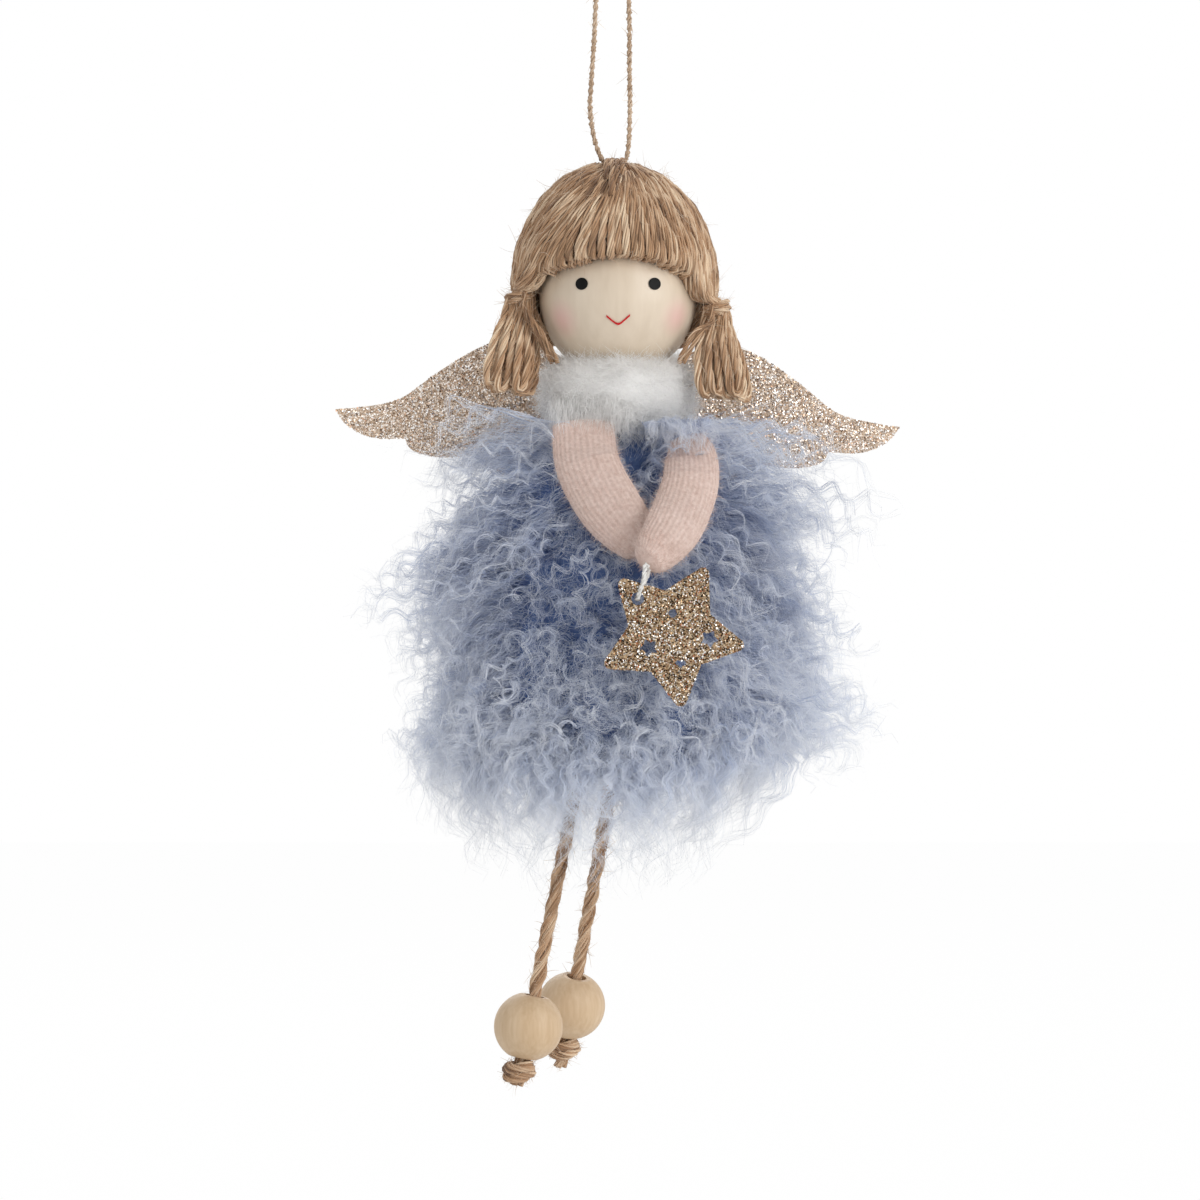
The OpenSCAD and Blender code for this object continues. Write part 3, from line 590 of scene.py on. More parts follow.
def fur_edge(turn, height):
    """A place on the outside of the fur, whose left, right and depth differ."""
    reaches = (FUR_RIGHT, FUR_LEFT, FUR_DEEP)
    right, left, deep = (np.interp(height, FUR_HEIGHTS, reach) for reach in reaches)
    half_w = np.where(np.cos(turn) > 0, right, left)
    return np.stack([half_w * np.cos(turn), deep * np.sin(turn), height], axis=-1)


# Tufts that stand out in the photograph: turn in degrees, height, extra length, half height
TUFTS = [
    (180, -94, 0.3, 4), (178, -112, 0.25, 5), (180, -121, 0.4, 5), (180, -146, 0.2, 6),
    (0, -94, 0.2, 4), (0, -104, 0.3, 5), (0, -124, 0.15, 6), (-4, -142, 0.25, 8),
]
# Locks stand closer together towards the hem, fall less near the neck, and sway a little round the dress
HEM_BIAS = 0.75
NECK_FALL = 0.3
FULL_FALL_FROM = 0.25
SWAY = 0.2
TUFT_FOCUS = 6


def lock_ends(rng, count, droop, reach, shares=(0.0, 1.0), turns=(0.0, 2 * math.pi)):
    """Root and tip of locks that grow from the cloth to the fur's outside, and the cloth's outward way."""
    share = CLOTH_HEM * spread(rng, *shares, count) ** HEM_BIAS
    turn = spread(rng, *turns, count)
    root = cloth_point(turn, share)
    below_neck = np.clip(share / FULL_FALL_FROM, 0, 1)
    fall = spread(rng, *droop, count) * (NECK_FALL + (1 - NECK_FALL) * below_neck)
    edge = fur_edge(turn + rng.normal(0, SWAY, count), root[:, 2] - fall)
    far = spread(rng, *reach, count)
    for degrees, height, extra, half in TUFTS:
        facing = np.maximum(0, np.cos(turn - math.radians(degrees))) ** TUFT_FOCUS
        far *= 1 + extra * facing * np.exp(-(((root[:, 2] - height) / half) ** 2))
    return root, root + (edge - root) * far[:, None], cloth_normal(turn, share)


def drawn_together(ends, guides, pull):
    """Bends the tips of locks towards the tip of the guide that is nearest to their root."""
    root, tip, normal = ends
    guide_root, guide_tip, _ = guides
    nearest = np.argmin(((root[:, None] - guide_root[None]) ** 2).sum(-1), axis=1)
    return root, tip + pull * (guide_tip[nearest] - tip), normal


# A whole turn in radians, near enough for a random start
FULL_TURN = 6.28
# How far a lock bows out from the cloth, and how much its fibres differ in length, step, place and tone
BOW = 0.55
BOW_SWAY = 0.1
FIBRE_SHARES = (0.65, 1.0)
OUT_OF_STEP = 0.6
CURL_GROWTH = 1.3
CURL_SIZES = (0.7, 1.3)
CLUMP_AT_ROOT = 1.2
CLUMP_DRAWN_IN = 0.5
LOCK_TONE = 0.38
FIBRE_TONE = 0.25


def curled(rng, ends, strands_each, points, curl, curl_pitch, clump, late):
    """Lines of curly fibre in locks between the ends, and each line's tone. Late curls open at the tips."""
    root, tip, normal = ends
    count = len(root)
    size = np.linalg.norm(tip - root, axis=1)[:, None]
    knee = root + size * (BOW * normal + rng.normal(0, BOW_SWAY, (count, 3)))
    spine = bowed(root, knee, tip, points)

    _, side, up = frames(spine)
    wide = spread(rng, *curl, count, 1, 1)
    pitch = spread(rng, *curl_pitch, count, 1, 1) * np.sign(spread(rng, -1, 1, count, 1, 1))
    part_way = np.linspace(0, 1, points) * spread(rng, *FIBRE_SHARES, count, strands_each, 1)
    phase = spread(rng, 0, FULL_TURN, count, 1, 1)
    phase = phase + spread(rng, -OUT_OF_STEP, OUT_OF_STEP, count, strands_each, 1)
    angle = phase + 2 * math.pi * part_way * size[:, None] / pitch
    swell = wide * np.minimum(CURL_GROWTH * part_way, 1) ** late
    swell = swell * spread(rng, *CURL_SIZES, count, strands_each, 1)
    off_angle = spread(rng, 0, FULL_TURN, count, strands_each, 1)
    off = np.sqrt(spread(rng, 0, 1, count, strands_each, 1)) * clump
    off = off * (CLUMP_AT_ROOT - CLUMP_DRAWN_IN * part_way)
    across = swell * np.cos(angle) + off * np.cos(off_angle)
    upward = swell * np.sin(angle) + off * np.sin(off_angle)

    place = part_way * (points - 1)
    below = np.minimum(place.astype(int), points - 2)
    part = (place - below)[..., None]
    row = np.arange(count)[:, None, None]

    def at(lines):
        return lines[row, below] * (1 - part) + lines[row, below + 1] * part

    lines = at(spine) + across[..., None] * at(side) + upward[..., None] * at(up)
    tone = 0.5 + spread(rng, -LOCK_TONE, LOCK_TONE, count, 1)
    tone = tone + spread(rng, -FIBRE_TONE, FIBRE_TONE, count, strands_each)
    return lines.reshape(-1, points, 3), tone.ravel()


# Where the locks over the right arm root, how far off their tips lie, and which way they set out
SHOULDER_ROOTS = ((5, 17), (-12.5, -11))
SHOULDER_ROOT_Z = -88.6
SHOULDER_TIPS = ((-1, 6), (-10, -8), (-8, -2))
SHOULDER_WAY = (0.1, -1.0, 0.25)


def shoulder_ends(rng, count):
    """Locks that lie over the top of the right arm."""
    x, y = (spread(rng, *span, count) for span in SHOULDER_ROOTS)
    root = np.stack([x, y, np.full(count, SHOULDER_ROOT_Z)], axis=1)
    tip = root + np.stack([spread(rng, *span, count) for span in SHOULDER_TIPS], axis=1)
    return root, tip, np.broadcast_to(SHOULDER_WAY, root.shape)


# Pieces that cover the fur: the height above which it may lie over them, and how far behind them it lies
COVERS = {"left_arm": (-90, 0.35), "right_arm": (-94.5, 0.35), "star": (-100, 2.6)}
BEHIND_ALL = 50


def pressed_behind(lines, covers):
    """Moves points back that lie in front of a piece that covers them, so that the fur lies behind it."""
    flat = lines.reshape(-1, 3)
    for cover, (top, gap) in covers.items():
        mesh = nodes[cover].data
        solid = BVHTree.FromPolygons(
            [np.array(v.co) / MM for v in mesh.vertices], [tuple(p.vertices) for p in mesh.polygons]
        )
        low, high = (np.array(c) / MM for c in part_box(cover))
        x, y, z = flat.T
        near = (x > low[0]) & (x < high[0]) & (z > low[2]) & (z < min(high[2], top))
        near &= y < high[1] + gap
        for i in np.nonzero(near)[0]:
            hit = solid.ray_cast(Vector((flat[i, 0], BEHIND_ALL, flat[i, 2])), Vector((0, -1, 0)))[0]
            if hit is not None and flat[i, 1] < hit.y + gap:
                flat[i, 1] = hit.y + gap
    return flat.reshape(lines.shape)


SCARF_BOTTOM = -88.3
SCARF_EDGE = 17
RISE_PAST_SCARF = 0.35
WING_BOTTOM = -100.5
WING_FRONT = 16.4


def held_down(lines):
    """Keeps fur below the scarf and in front of the wings."""
    x, y, z = lines[..., 0], lines[..., 1], lines[..., 2]
    away = np.hypot(x, y)
    lines[..., 2] = np.minimum(z, SCARF_BOTTOM + RISE_PAST_SCARF * np.maximum(0, away - SCARF_EDGE))
    lines[..., 1] = np.where(z > WING_BOTTOM, np.minimum(y, WING_FRONT), y)
    return lines


def cloth_sheet(name):
    """The fur's backing as one thin closed skirt, with its outer side, its inner side and a turned hem."""
    turns = np.linspace(0, 2 * math.pi, CLOTH_GRID[0], endpoint=False)
    down = np.linspace(CLOTH_TOP, CLOTH_HEM, CLOTH_GRID[1])
    outside = np.array([cloth_point(turns, np.full_like(turns, v)) for v in down])
    inside = np.array([cloth_point(turns, np.full_like(turns, v), CLOTH_T) for v in down[::-1]])
    return grid_object(name, np.concatenate([outside, inside, outside[:1]]))


rng = np.random.default_rng(21)
cloth = cloth_sheet("dress_cloth")
fur_backing = grained(
    "fur_backing", 0.85, scale=900.0, detail=3.0, dark=(0.3, rgb(72, 96, 146)),
    light=(0.7, rgb(104, 128, 174)), strength=0.4, depth=0.0004, stretch=(1, 1, 2.5), Sheen_Weight=0.2,
)
dress_up(cloth, fur_backing, "doll", "blue_fur", "dress")


# Painted light and shade by height: fibres paler at the neck and towards the hem than in the dress's middle
PAINTED_LIGHT_HEIGHTS = [-165, -145, -120, -100, -92]
# The middle is painted darker, as shade under the arms and the star
PAINTED_LIGHT_AND_SHADE = [0.6, 0.4, -0.08, 0.12, 0.36]

guides = lock_ends(rng, 180, droop=(2, 16), reach=(0.7, 1.0))
FLUFF = drawn_together(lock_ends(rng, 2500, droop=(3, 14), reach=(0.3, 0.82)), guides, pull=0.5)
LOCKS = lock_ends(rng, 430, droop=(-2, 13), reach=(0.72, 1.22))
RINGLETS = lock_ends(rng, 460, droop=(0, 13), reach=(0.7, 1.14))
low_locks = lock_ends(rng, 240, droop=(7, 16), reach=(0.7, 1.1), shares=(0.78, 1.0))
HEM = drawn_together(low_locks, guides, pull=0.2)
WISPS = lock_ends(rng, 120, droop=(12, 21), reach=(0.8, 1.1), shares=(0.9, 1.0))
STRAY = lock_ends(rng, 5000, droop=(0, 16), reach=(0.6, 1.2))
SHOULDER = shoulder_ends(rng, 70)
# For each kind of fur: the fibres' width, how much paler they are, the locks, fibres to a lock, points to a
# fibre, the curls' radius and pitch, the lock's radius, and how late the curls open
# A kind's paleness is painted light, and the ringlets' paleness is painted highlight on the curls
FUR_KINDS = {
    "fluff": (0.08, 0.0, FLUFF, 14, 13, (0.5, 1.4), (4.0, 8.0), 1.2, 1.2),
    "locks": (0.09, 0.08, LOCKS, 18, 25, (1.0, 2.6), (4.2, 8.0), 0.75, 1.6),
    "ringlets": (0.13, 0.25, RINGLETS, 8, 26, (0.9, 2.0), (3.2, 5.6), 0.4, 1.4),
    "hem": (0.08, 0.15, HEM, 13, 15, (0.6, 1.6), (4.0, 7.0), 1.0, 1.3),
    "wisps": (0.08, 0.2, WISPS, 14, 20, (0.8, 2.0), (4.5, 8.0), 0.8, 1.6),
    "stray": (0.06, 0.1, STRAY, 1, 18, (0.6, 2.4), (3.8, 8.5), 1.5, 1.3),
    "shoulder": (0.07, 0.1, SHOULDER, 12, 13, (0.3, 0.9), (3.0, 6.0), 0.8, 1.3),
}
FUR = {kind: (width, lift, curled(rng, *style)) for kind, (width, lift, *style) in FUR_KINDS.items()}
# The hem hangs lower at the front and at the back: from which turn to which, in degrees, and how many locks
HANGING_HEM = {"hang_front": (-152, -48, 230), "hang_back": (40, 140, 130)}
hem_rng = np.random.default_rng(22)
for kind, (from_turn, to_turn, count) in HANGING_HEM.items():
    turns = math.radians(from_turn), math.radians(to_turn)
    locks = lock_ends(hem_rng, count, droop=(11, 26), reach=(0.9, 1.15), shares=(0.84, 1.0), turns=turns)
    # The hanging hem's locks are painted 0.2 paler, as light
    FUR[kind] = (0.08, 0.2, curled(hem_rng, locks, 14, 25, (0.9, 2.3), (4.0, 7.0), 0.8, 1.2))
# Fur of more triangles than this is split into pieces round the dress
MOST_TRIANGLES = 190000
for kind, (width, lift, (lines, tone)) in FUR.items():
    lines = pressed_behind(held_down(lines), COVERS)
    # A kind's paleness and the tone by height are painted light and shade
    tone = tone + lift + np.interp(lines[:, -1, 2], PAINTED_LIGHT_HEIGHTS, PAINTED_LIGHT_AND_SHADE)
    order = np.argsort(np.arctan2(lines[:, 0, 1], lines[:, 0, 0]), kind="stable")
    parts = math.ceil(len(lines) * 2 * (lines.shape[1] - 1) / MOST_TRIANGLES)
    for number, chosen in enumerate(np.array_split(order, parts)):
        half = width / 2 * spread(rng, 0.7, 1.3, len(chosen))
        look = (blue_fur, "arms" if kind == "shoulder" else "doll", "blue_fur")
        strands(f"dress_{kind}_{number + 1}", lines[chosen], half, FLAT, tone[chosen], look)


# The hair: bundles of jute yarn on the head's ball

HAIR_MIDDLE = -61.8
HAIR_HALF_W = 20
HAIR_RIGHT_W = 18.8
HAIR_HALF_D = 18.5
HAIR_RISE = 23.2
HAIR_FALL = 20
CROWN_X = -0.7
YARN_R = 0.85
NAPE_Z = -74.8
NAPE_LIFT = 1.2
TIE_REACH = 18.6
TIE_Y = -3.5
TIE_Z = {"left": -64.2, "right": -66.5}
PIGTAIL_LEN = {"left": 19.4, "right": 18.0}
SIDES = {"left": -1, "right": 1}


def on_hair(turn, polar, inset):
    """A place on the hair: turn in degrees from the front, polar in degrees from the crown."""
    turn, polar = np.radians(turn), np.radians(polar)
    rise = np.where(np.cos(polar) > 0, HAIR_RISE, HAIR_FALL) - inset
    shift = CROWN_X * np.maximum(0, np.cos(polar)) ** 4
    half_w = np.where(np.sin(turn) > 0, HAIR_RIGHT_W, HAIR_HALF_W) - inset
    return np.stack(
        [
            half_w * np.sin(polar) * np.sin(turn) + shift,
            -(HAIR_HALF_D - inset) * np.sin(polar) * np.cos(turn),
            HAIR_MIDDLE + rise * np.cos(polar),
        ],
        axis=-1,
    )


def polar_at(height):
    rise = HAIR_RISE if height > HAIR_MIDDLE else HAIR_FALL
    return math.degrees(math.acos((height - HAIR_MIDDLE) / rise))


# How far along its way each point of a strand is; then how it tucks under: degrees past its edge, and depth
STRAND_STOPS = (0.09, 0.35, 0.6, 0.82, 0.95)
TUCK = ((0, 0.5), (0.6, 1.5), (-2.5, 2.1))


def tucked(end_turn, end_z, inset, gather):
    """Route of one strand from the crown to an edge, where it turns under to the ball."""
    end = polar_at(end_z)
    points = [on_hair(end_turn * (gather + (1 - gather) * f), end * f, inset) for f in STRAND_STOPS]
    return points + [on_hair(end_turn, end + past, inset + deep) for past, deep in TUCK]


# The fringe lies between two turns from the front and arches over the face
FRINGE_TURN = 50
FRINGE_SIDE = -60.1
FRINGE_RISE = 3.8
FRINGE_ARCH = 1.7
# The back hair reaches round to the ears, and lies under the side hair there
BACK_TURN = 94
SIDES_COVER = 74
UNDER_SIDES = 1.1


def fringe_routes(rng, count, inset, shift):
    routes = []
    for k in range(count):
        turn = FRINGE_TURN * (2 * (k + shift) / (count - 1) - 1)
        arch = FRINGE_RISE * math.cos(math.radians(turn * FRINGE_ARCH))
        height = FRINGE_SIDE + arch + float(rng.uniform(-0.4, 0.4))
        routes.append(tucked(turn + float(rng.uniform(-1, 1)), height, inset, gather=0.35))
    return routes


def back_routes(rng, count, inset, shift):
    routes = []
    for k in range(count):
        turn = 180 + BACK_TURN * (2 * (k + shift) / (count - 1) - 1)
        under = UNDER_SIDES if abs(turn - 180) > SIDES_COVER else 0
        end = NAPE_Z + NAPE_LIFT + float(rng.uniform(-0.9, 0.9))
        routes.append(tucked(turn + float(rng.uniform(-1.2, 1.2)), end, inset + under, gather=1.0))
    return routes


# The side hair's front and back edge, as the turn from the front at each angle from the crown
SIDE_POLAR = [12, 30, 50, 70, 84, 92]
SIDE_FRONT = [30, 35, 40, 50, 55, 66]
SIDE_BACK = [116, 112, 108, 101, 95, 88]
SIDE_END_POLAR = 97
# The bundle in its tie: half its width, how far out its middle is, half its depth, and its ends up and down
BUNDLE_HALF_W = 1.3
BUNDLE_OUT = 0.6
BUNDLE_HALF_D = 1.7
BUNDLE_ENDS = (1.0, -1.2)


def tie_at(name):
    return np.array([SIDES[name] * TIE_REACH, TIE_Y, TIE_Z[name]])


def side_routes(rng, name, count, inset, from_share, to_share):
    """Strands that sweep from the crown's parting to the tie."""
    side = SIDES[name]
    tie = tie_at(name)
    stretch = polar_at(TIE_Z[name]) / SIDE_END_POLAR
    routes = []
    for share in np.linspace(from_share, to_share, count):
        points = []
        for polar, front, back in zip(SIDE_POLAR, SIDE_FRONT, SIDE_BACK):
            turn = front + (back - front) * share + float(rng.uniform(-0.8, 0.8))
            points.append(on_hair(side * turn, polar * stretch, inset))
        spot = math.pi * (share - 0.5)
        out = -side * BUNDLE_HALF_W * math.cos(spot) + side * BUNDLE_OUT
        gathered = tie + np.array([out, BUNDLE_HALF_D * math.sin(spot), 0])
        routes.append(points + [gathered + [0, 0, height] for height in BUNDLE_ENDS])
    return routes


def stray_routes(name):
    """Strands that slip out of the tie and lie along the cheek down to the scarf."""
    side = SIDES[name]
    top = TIE_Z[name]
    return [
        [(side * 17.6, -5.6, top + 2), (side * 17.6, -6.8, top - 2.5), (side * (15.6 - lean), -7.8, -71),
         (side * (13.2 - lean), -7.6, -75.2), (side * (12.4 - lean), -7.2, -77)]
        for lean in (0.0, 1.0)
    ]


# A pigtail's bend out and forward, its bundle's half width and half depth, and half of one loop of yarn
PIGTAIL_BEND = 1.5
PIGTAIL_OUT = 2
PIGTAIL_FORWARD = 6.4
PIGTAIL_HALF_W = 4.6
PIGTAIL_HALF_D = 2.6
HALF_LOOP = (0.95, 0.3)
# Stops down a loop: the share of its length, and how far the bundle has swelled; then stops round its foot
LOOP_STOPS = ((0.0, 0.4), (0.2, 0.55), (0.5, 0.86), (0.8, 1.0))
FOOT_STOPS = ((0.96, -0.7), (1.0, 0.0), (0.96, 0.7))


def pigtail_routes(rng, name, count):
    """Yarn loops that hang from a tie: each goes down, turns and comes back up."""
    side = SIDES[name]
    tie = tie_at(name)
    long = PIGTAIL_LEN[name]

    def at(share, place, swell):
        bend = share**PIGTAIL_BEND
        across, deep = place
        forward = -PIGTAIL_FORWARD * bend + deep * swell
        return tie + [side * PIGTAIL_OUT * bend + across * swell, forward, -long * share]

    routes = []
    for k in range(count):
        spot = GOLDEN_TURN * k
        far = math.sqrt((k + 0.5) / count)
        middle = np.array([PIGTAIL_HALF_W * far * math.cos(spot), PIGTAIL_HALF_D * far * math.sin(spot)])
        half = np.array(HALF_LOOP) * rng.choice([-1, 1])
        reach = float(rng.uniform(0.86, 0.97))
        down = [at(s * reach, middle - half, w) for s, w in LOOP_STOPS]
        foot = [at(s * reach, middle + part * half, 1.0) for s, part in FOOT_STOPS]
        back = [at(s * reach, middle + half, w) for s, w in reversed(LOOP_STOPS)]
        routes.append(down + foot + back)
    return routes


# How much paler, or darker, than the rest some bundles of yarn are
# The pigtails are painted paler as light, the right one most, where the key light falls; the fringe is
# darker
YARN_TONES_AND_PAINTED_LIGHT = {"fringe_yarn": -0.08, "left_pigtail_yarn": 0.1, "right_pigtail_yarn": 0.15}
YARN_FILL = 0.8
YARN_OVERLAP = 0.95
MIDDLE_TONE = 0.54
YARN_TONE = 0.26
YARN_FIBRE_TONE = 0.34
YARN_HAIR_R = 0.04


def yarn_piece(name, rng, routes, replaced, points, hairs, fibres=11, yarn_r=YARN_R, pitch=14):
    """Jute yarn along the routes, as twisted fibres, with loose hairs on it."""
    paths = np.array([curve_through(route, points) for route in routes])
    lines = twisted(rng, paths, yarn_r * YARN_FILL, fibres, pitch)
    yarn_tone = np.repeat(spread(rng, -YARN_TONE, YARN_TONE, len(paths)), fibres)
    fibre_tone = spread(rng, -YARN_FIBRE_TONE, YARN_FIBRE_TONE, len(lines))
    tone = MIDDLE_TONE + YARN_TONES_AND_PAINTED_LIGHT.get(name, 0) + yarn_tone + fibre_tone
    look = (jute, "doll", "jute_yarn", *replaced)
    strands(name, lines, yarn_r * YARN_OVERLAP / math.sqrt(fibres), TUBE, tone, look, tip=1.0)
    loose = loose_hairs(rng, lines, hairs, length=3.4, lift=0.55)
    loose_fibres(name + "_hairs", rng, loose, YARN_HAIR_R, (jute_fuzz, "doll", "jute_yarn"))


# How deep the layers of yarn lie
OUTER = YARN_R
INNER = YARN_R + 1.3
# The side hair's layers: how many strands, how deep they lie, and their first and last share of the width
SIDE_LAYERS = [(16, YARN_R - 0.5, 0, 1), (15, YARN_R + 0.9, 0.03, 0.97), (9, YARN_R + 2.2, 0.04, 0.5)]

rng = np.random.default_rng(31)
fringe = fringe_routes(rng, 21, OUTER, shift=0) + fringe_routes(rng, 20, INNER, shift=0.5)
yarn_piece("fringe_yarn", rng, fringe, ["fringe"], points=26, hairs=1500)
back_hair = back_routes(rng, 34, OUTER, shift=0) + back_routes(rng, 33, INNER, shift=0.5)
yarn_piece("back_hair_yarn", rng, back_hair, ["back_hair"], points=30, hairs=1500)
for name in SIDES:
    side_hair = [route for layer in SIDE_LAYERS for route in side_routes(rng, name, *layer)]
    yarn_piece(name + "_side_yarn", rng, side_hair, [name + "_side_hair"], points=30, hairs=1400)
    loops = pigtail_routes(rng, name, 13)
    yarn_piece(
        name + "_pigtail_yarn", rng, loops, [name + "_pigtail"], points=52, hairs=900, fibres=9,
        yarn_r=0.75, pitch=12,
    )
    stray = stray_routes(name)
    yarn_piece(name + "_stray_yarn", rng, stray, [], points=24, hairs=60, fibres=7, yarn_r=0.5, pitch=9)
    wraps = [wound(tie_at(name), (0.2, 0.1, -1), radius=2.35, pitch=1.1, turns=1.8, points=48)]
    yarn_piece(
        name + "_tie_yarn", rng, wraps, [name + "_hair_tie"], points=60, hairs=60, yarn_r=0.65, pitch=8
    )

# Yarn over the crown from front to back: its place across, and its share of the whole way
CROWN_YARN = [(-2.0, 0.75), (-1.1, 1.0), (-0.2, 0.9), (0.7, 0.65)]
# Stops on that way, and how far the yarn dips under the hair there
CROWN_STOPS = [(-13, 1.2), (-11.5, 0.3), (-7, 0), (-3, 0), (3, 0), (7, 0), (11.5, 0.3), (13, 1.2)]
CROWN_RISE = HAIR_RISE + 0.3
CROWN_HALF_D = 18.9
crown = [
    [
        (x, y * end, HAIR_MIDDLE + CROWN_RISE * math.sqrt(1 - (y * end / CROWN_HALF_D) ** 2) - dip)
        for y, dip in CROWN_STOPS
    ]
    for x, end in CROWN_YARN
]
# A flat coil under the twine closes the crown
COIL_TURNS = 2.6
COIL_INNER_R = 0.8
COIL_WIDTH = 3.2
COIL_DEPTH = 3.3
COIL_SAG = 0.9
coil_share = np.linspace(0, 1, 30)
coil_turn = 2 * math.pi * COIL_TURNS * coil_share
coil_r = COIL_INNER_R + COIL_WIDTH * coil_share
coil_z = HAIR_MIDDLE + HAIR_RISE - COIL_DEPTH - COIL_SAG * coil_share**2
crown.append(np.stack([CROWN_X + coil_r * np.cos(coil_turn), coil_r * np.sin(coil_turn), coil_z], axis=1))
yarn_piece("crown_tie_yarn", rng, crown, ["crown_tie"], points=48, hairs=90, yarn_r=0.75, pitch=11)


# The scarf: a plush band round the neck

SCARF_MIDDLE = -82.4
SCARF_HALF_H = 5.0
SCARF_R = 13.6
SCARF_HOLE_R = 5.6
# Waves round the band: how strong, how many, and where they start
SCARF_WAVES = [(0.35, 5, 1.3), (0.25, 9, 0.4)]
WAVE_WIDTH = 0.5
WAVE_HEIGHT = 0.4
SQUARENESS = 0.8
SCARF_GRID = (120, 49)


def scarf_point(turn, roll):
    """A place on the band: turn round the neck, roll round its section from the outside over the top."""
    wave = sum(strong * np.sin(number * turn + start) for strong, number, start in SCARF_WAVES)
    middle = (SCARF_R + SCARF_HOLE_R) / 2
    half = (SCARF_R - SCARF_HOLE_R) / 2
    flat, tall = (np.sign(v) * np.abs(v) ** SQUARENESS for v in (np.cos(roll), np.sin(roll)))
    reach = middle + (half + WAVE_WIDTH * wave) * flat
    height = SCARF_MIDDLE + (SCARF_HALF_H + WAVE_HEIGHT * wave) * tall
    return np.stack([reach * np.sin(turn), -reach * np.cos(turn), height], axis=-1)


rng = np.random.default_rng(41)
turns = np.linspace(0, 2 * math.pi, SCARF_GRID[0], endpoint=False)
rolls = np.linspace(0, 2 * math.pi, SCARF_GRID[1])
scarf = grid_object("scarf_band", np.array([scarf_point(turns, np.full_like(turns, r)) for r in rolls]))
plush_base = grained(
    "plush_base", 0.8, scale=700.0, detail=3.0, dark=(0.3, rgb(240, 239, 238)),
    light=(0.7, rgb(252, 251, 250)), strength=0.5, depth=0.0006, Sheen_Weight=0.3,
)
dress_up(scarf, plush_base, "doll", "white_plush", "scarf")


# Where on the band's section the plush grows, and the roll below which its fibres hang down and are longer
PLUSH_ROLLS = (-2.0, 2.4)
HANG_BELOW = -0.4
HANG = 0.8
LONGER = 0.5
PLUSH_LENGTHS = (2.4, 4.8)
# How far the fibres lean over the band, curl to any side, and bend back to the band
LEAN = 0.8
CURL = 0.55
BEND_BACK = 0.35


def plush(rng, count):
    """Short fibres of the scarf, brushed round the neck."""
    turn = spread(rng, 0, 2 * math.pi, count)
    roll = spread(rng, *PLUSH_ROLLS, count)
    step = 0.01
    root = scarf_point(turn, roll)
    round_way = unit(scarf_point(turn + step, roll) - root)
    over_way = unit(scarf_point(turn, roll + step) - root)
    out = np.cross(round_way, over_way)
    out *= np.sign((out * (root - [0, 0, SCARF_MIDDLE])).sum(-1, keepdims=True))
    lean = spread(rng, -1.0, 1.0, count, 1) * LEAN
    low = np.clip(HANG_BELOW - roll, 0, 1)
    hang = np.array([0, 0, -HANG]) * low[:, None]
    lift = out * spread(rng, 0.3, 0.9, count, 1)
    brushed = spread(rng, 0.3, 1.3, count, 1) * rng.choice([-1, 1], (count, 1))
    way = unit(round_way * brushed + over_way * lean + lift + hang)
    curl = spread(rng, -1, 1, count, 3) * CURL - out * BEND_BACK
    size = (spread(rng, *PLUSH_LENGTHS, count) * (1 + LONGER * low))[:, None, None]
    return bent(root, size, way, curl, points=6)


PLUSH_PIECES = 2
PLUSH_EACH = 15000
PLUSH_R = 0.035
PLUSH_LOOK = (white_plush, "doll", "white_plush")
for number in range(PLUSH_PIECES):
    loose_fibres(f"scarf_plush_{number + 1}", rng, plush(rng, PLUSH_EACH), PLUSH_R, PLUSH_LOOK)

# The fibres at the scarf's edge: where they grow, how far they fall and stray, and how far out the arm is
EDGE_TURNS = (-1.2, 0.2)
EDGE_ROLLS = (-1.1, 0.0)
EDGE_FALLS = (2.0, 5.5)
EDGE_STRAY = 1.0
ARM_TOP_FRONT = 12.6


def hanging_plush(rng, count):
    """Longer fibres at the scarf's lower edge that lie over the top of the left arm."""
    root = scarf_point(spread(rng, *EDGE_TURNS, count), spread(rng, *EDGE_ROLLS, count))
    to_arm = np.maximum(ARM_TOP_FRONT + root[:, 1], 0)
    forward = to_arm * spread(rng, 0.7, 1.1, count) + spread(rng, 0.4, 2.0, count)
    knee = root - forward[:, None] * [0, 1, 0]
    tip = knee + rng.normal(0, EDGE_STRAY, (count, 3))
    tip = tip - np.array([0, 0, 1]) * spread(rng, *EDGE_FALLS, count, 1)
    return bowed(root, knee, tip, points=8)


HANGING = 1700
HANGING_R = 0.03
loose_fibres("scarf_plush_edge", rng, hanging_plush(rng, HANGING), HANGING_R, PLUSH_LOOK)


# The arms: stuffed fine knit

SHOULDER_Z = -89.7
ARM_DROP = 25
ARM_REACH = 13
ARM_W = 12
ARM_T = 4.6
SEAT_GAP = 0.3
# For each arm: its stops, as shares of the reach, the drop and the width; then shares of the drop, and how
# many thicknesses of arm lie under it there
ARMS = {
    "left": (
        [(-0.5, 0, 0.96), (-0.47, 0.2, 1), (-0.33, 0.4, 1), (-0.1, 0.6, 0.98), (0.16, 0.77, 0.84),
         (0.32, 0.88, 0.62), (0.38, 0.92, 0.36)],
        ([0, 1], [0, 0]),
    ),
    "right": (
        [(0.95, 0.04, 0.5), (1.04, 0.2, 0.8), (1.04, 0.38, 0.88), (0.94, 0.56, 0.9), (0.78, 0.74, 0.88),
         (0.56, 0.9, 0.74), (0.42, 0.98, 0.52), (0.38, 1, 0.3)],
        ([0, 0.5, 0.72, 0.92, 1], [0, 0, 1, 1, 1.6]),
    ),
}
# The knit: how wide a wale, how high a course and how deep a stitch is
WALE = 0.78
COURSE = 0.7
STITCH_DEPTH = 0.085
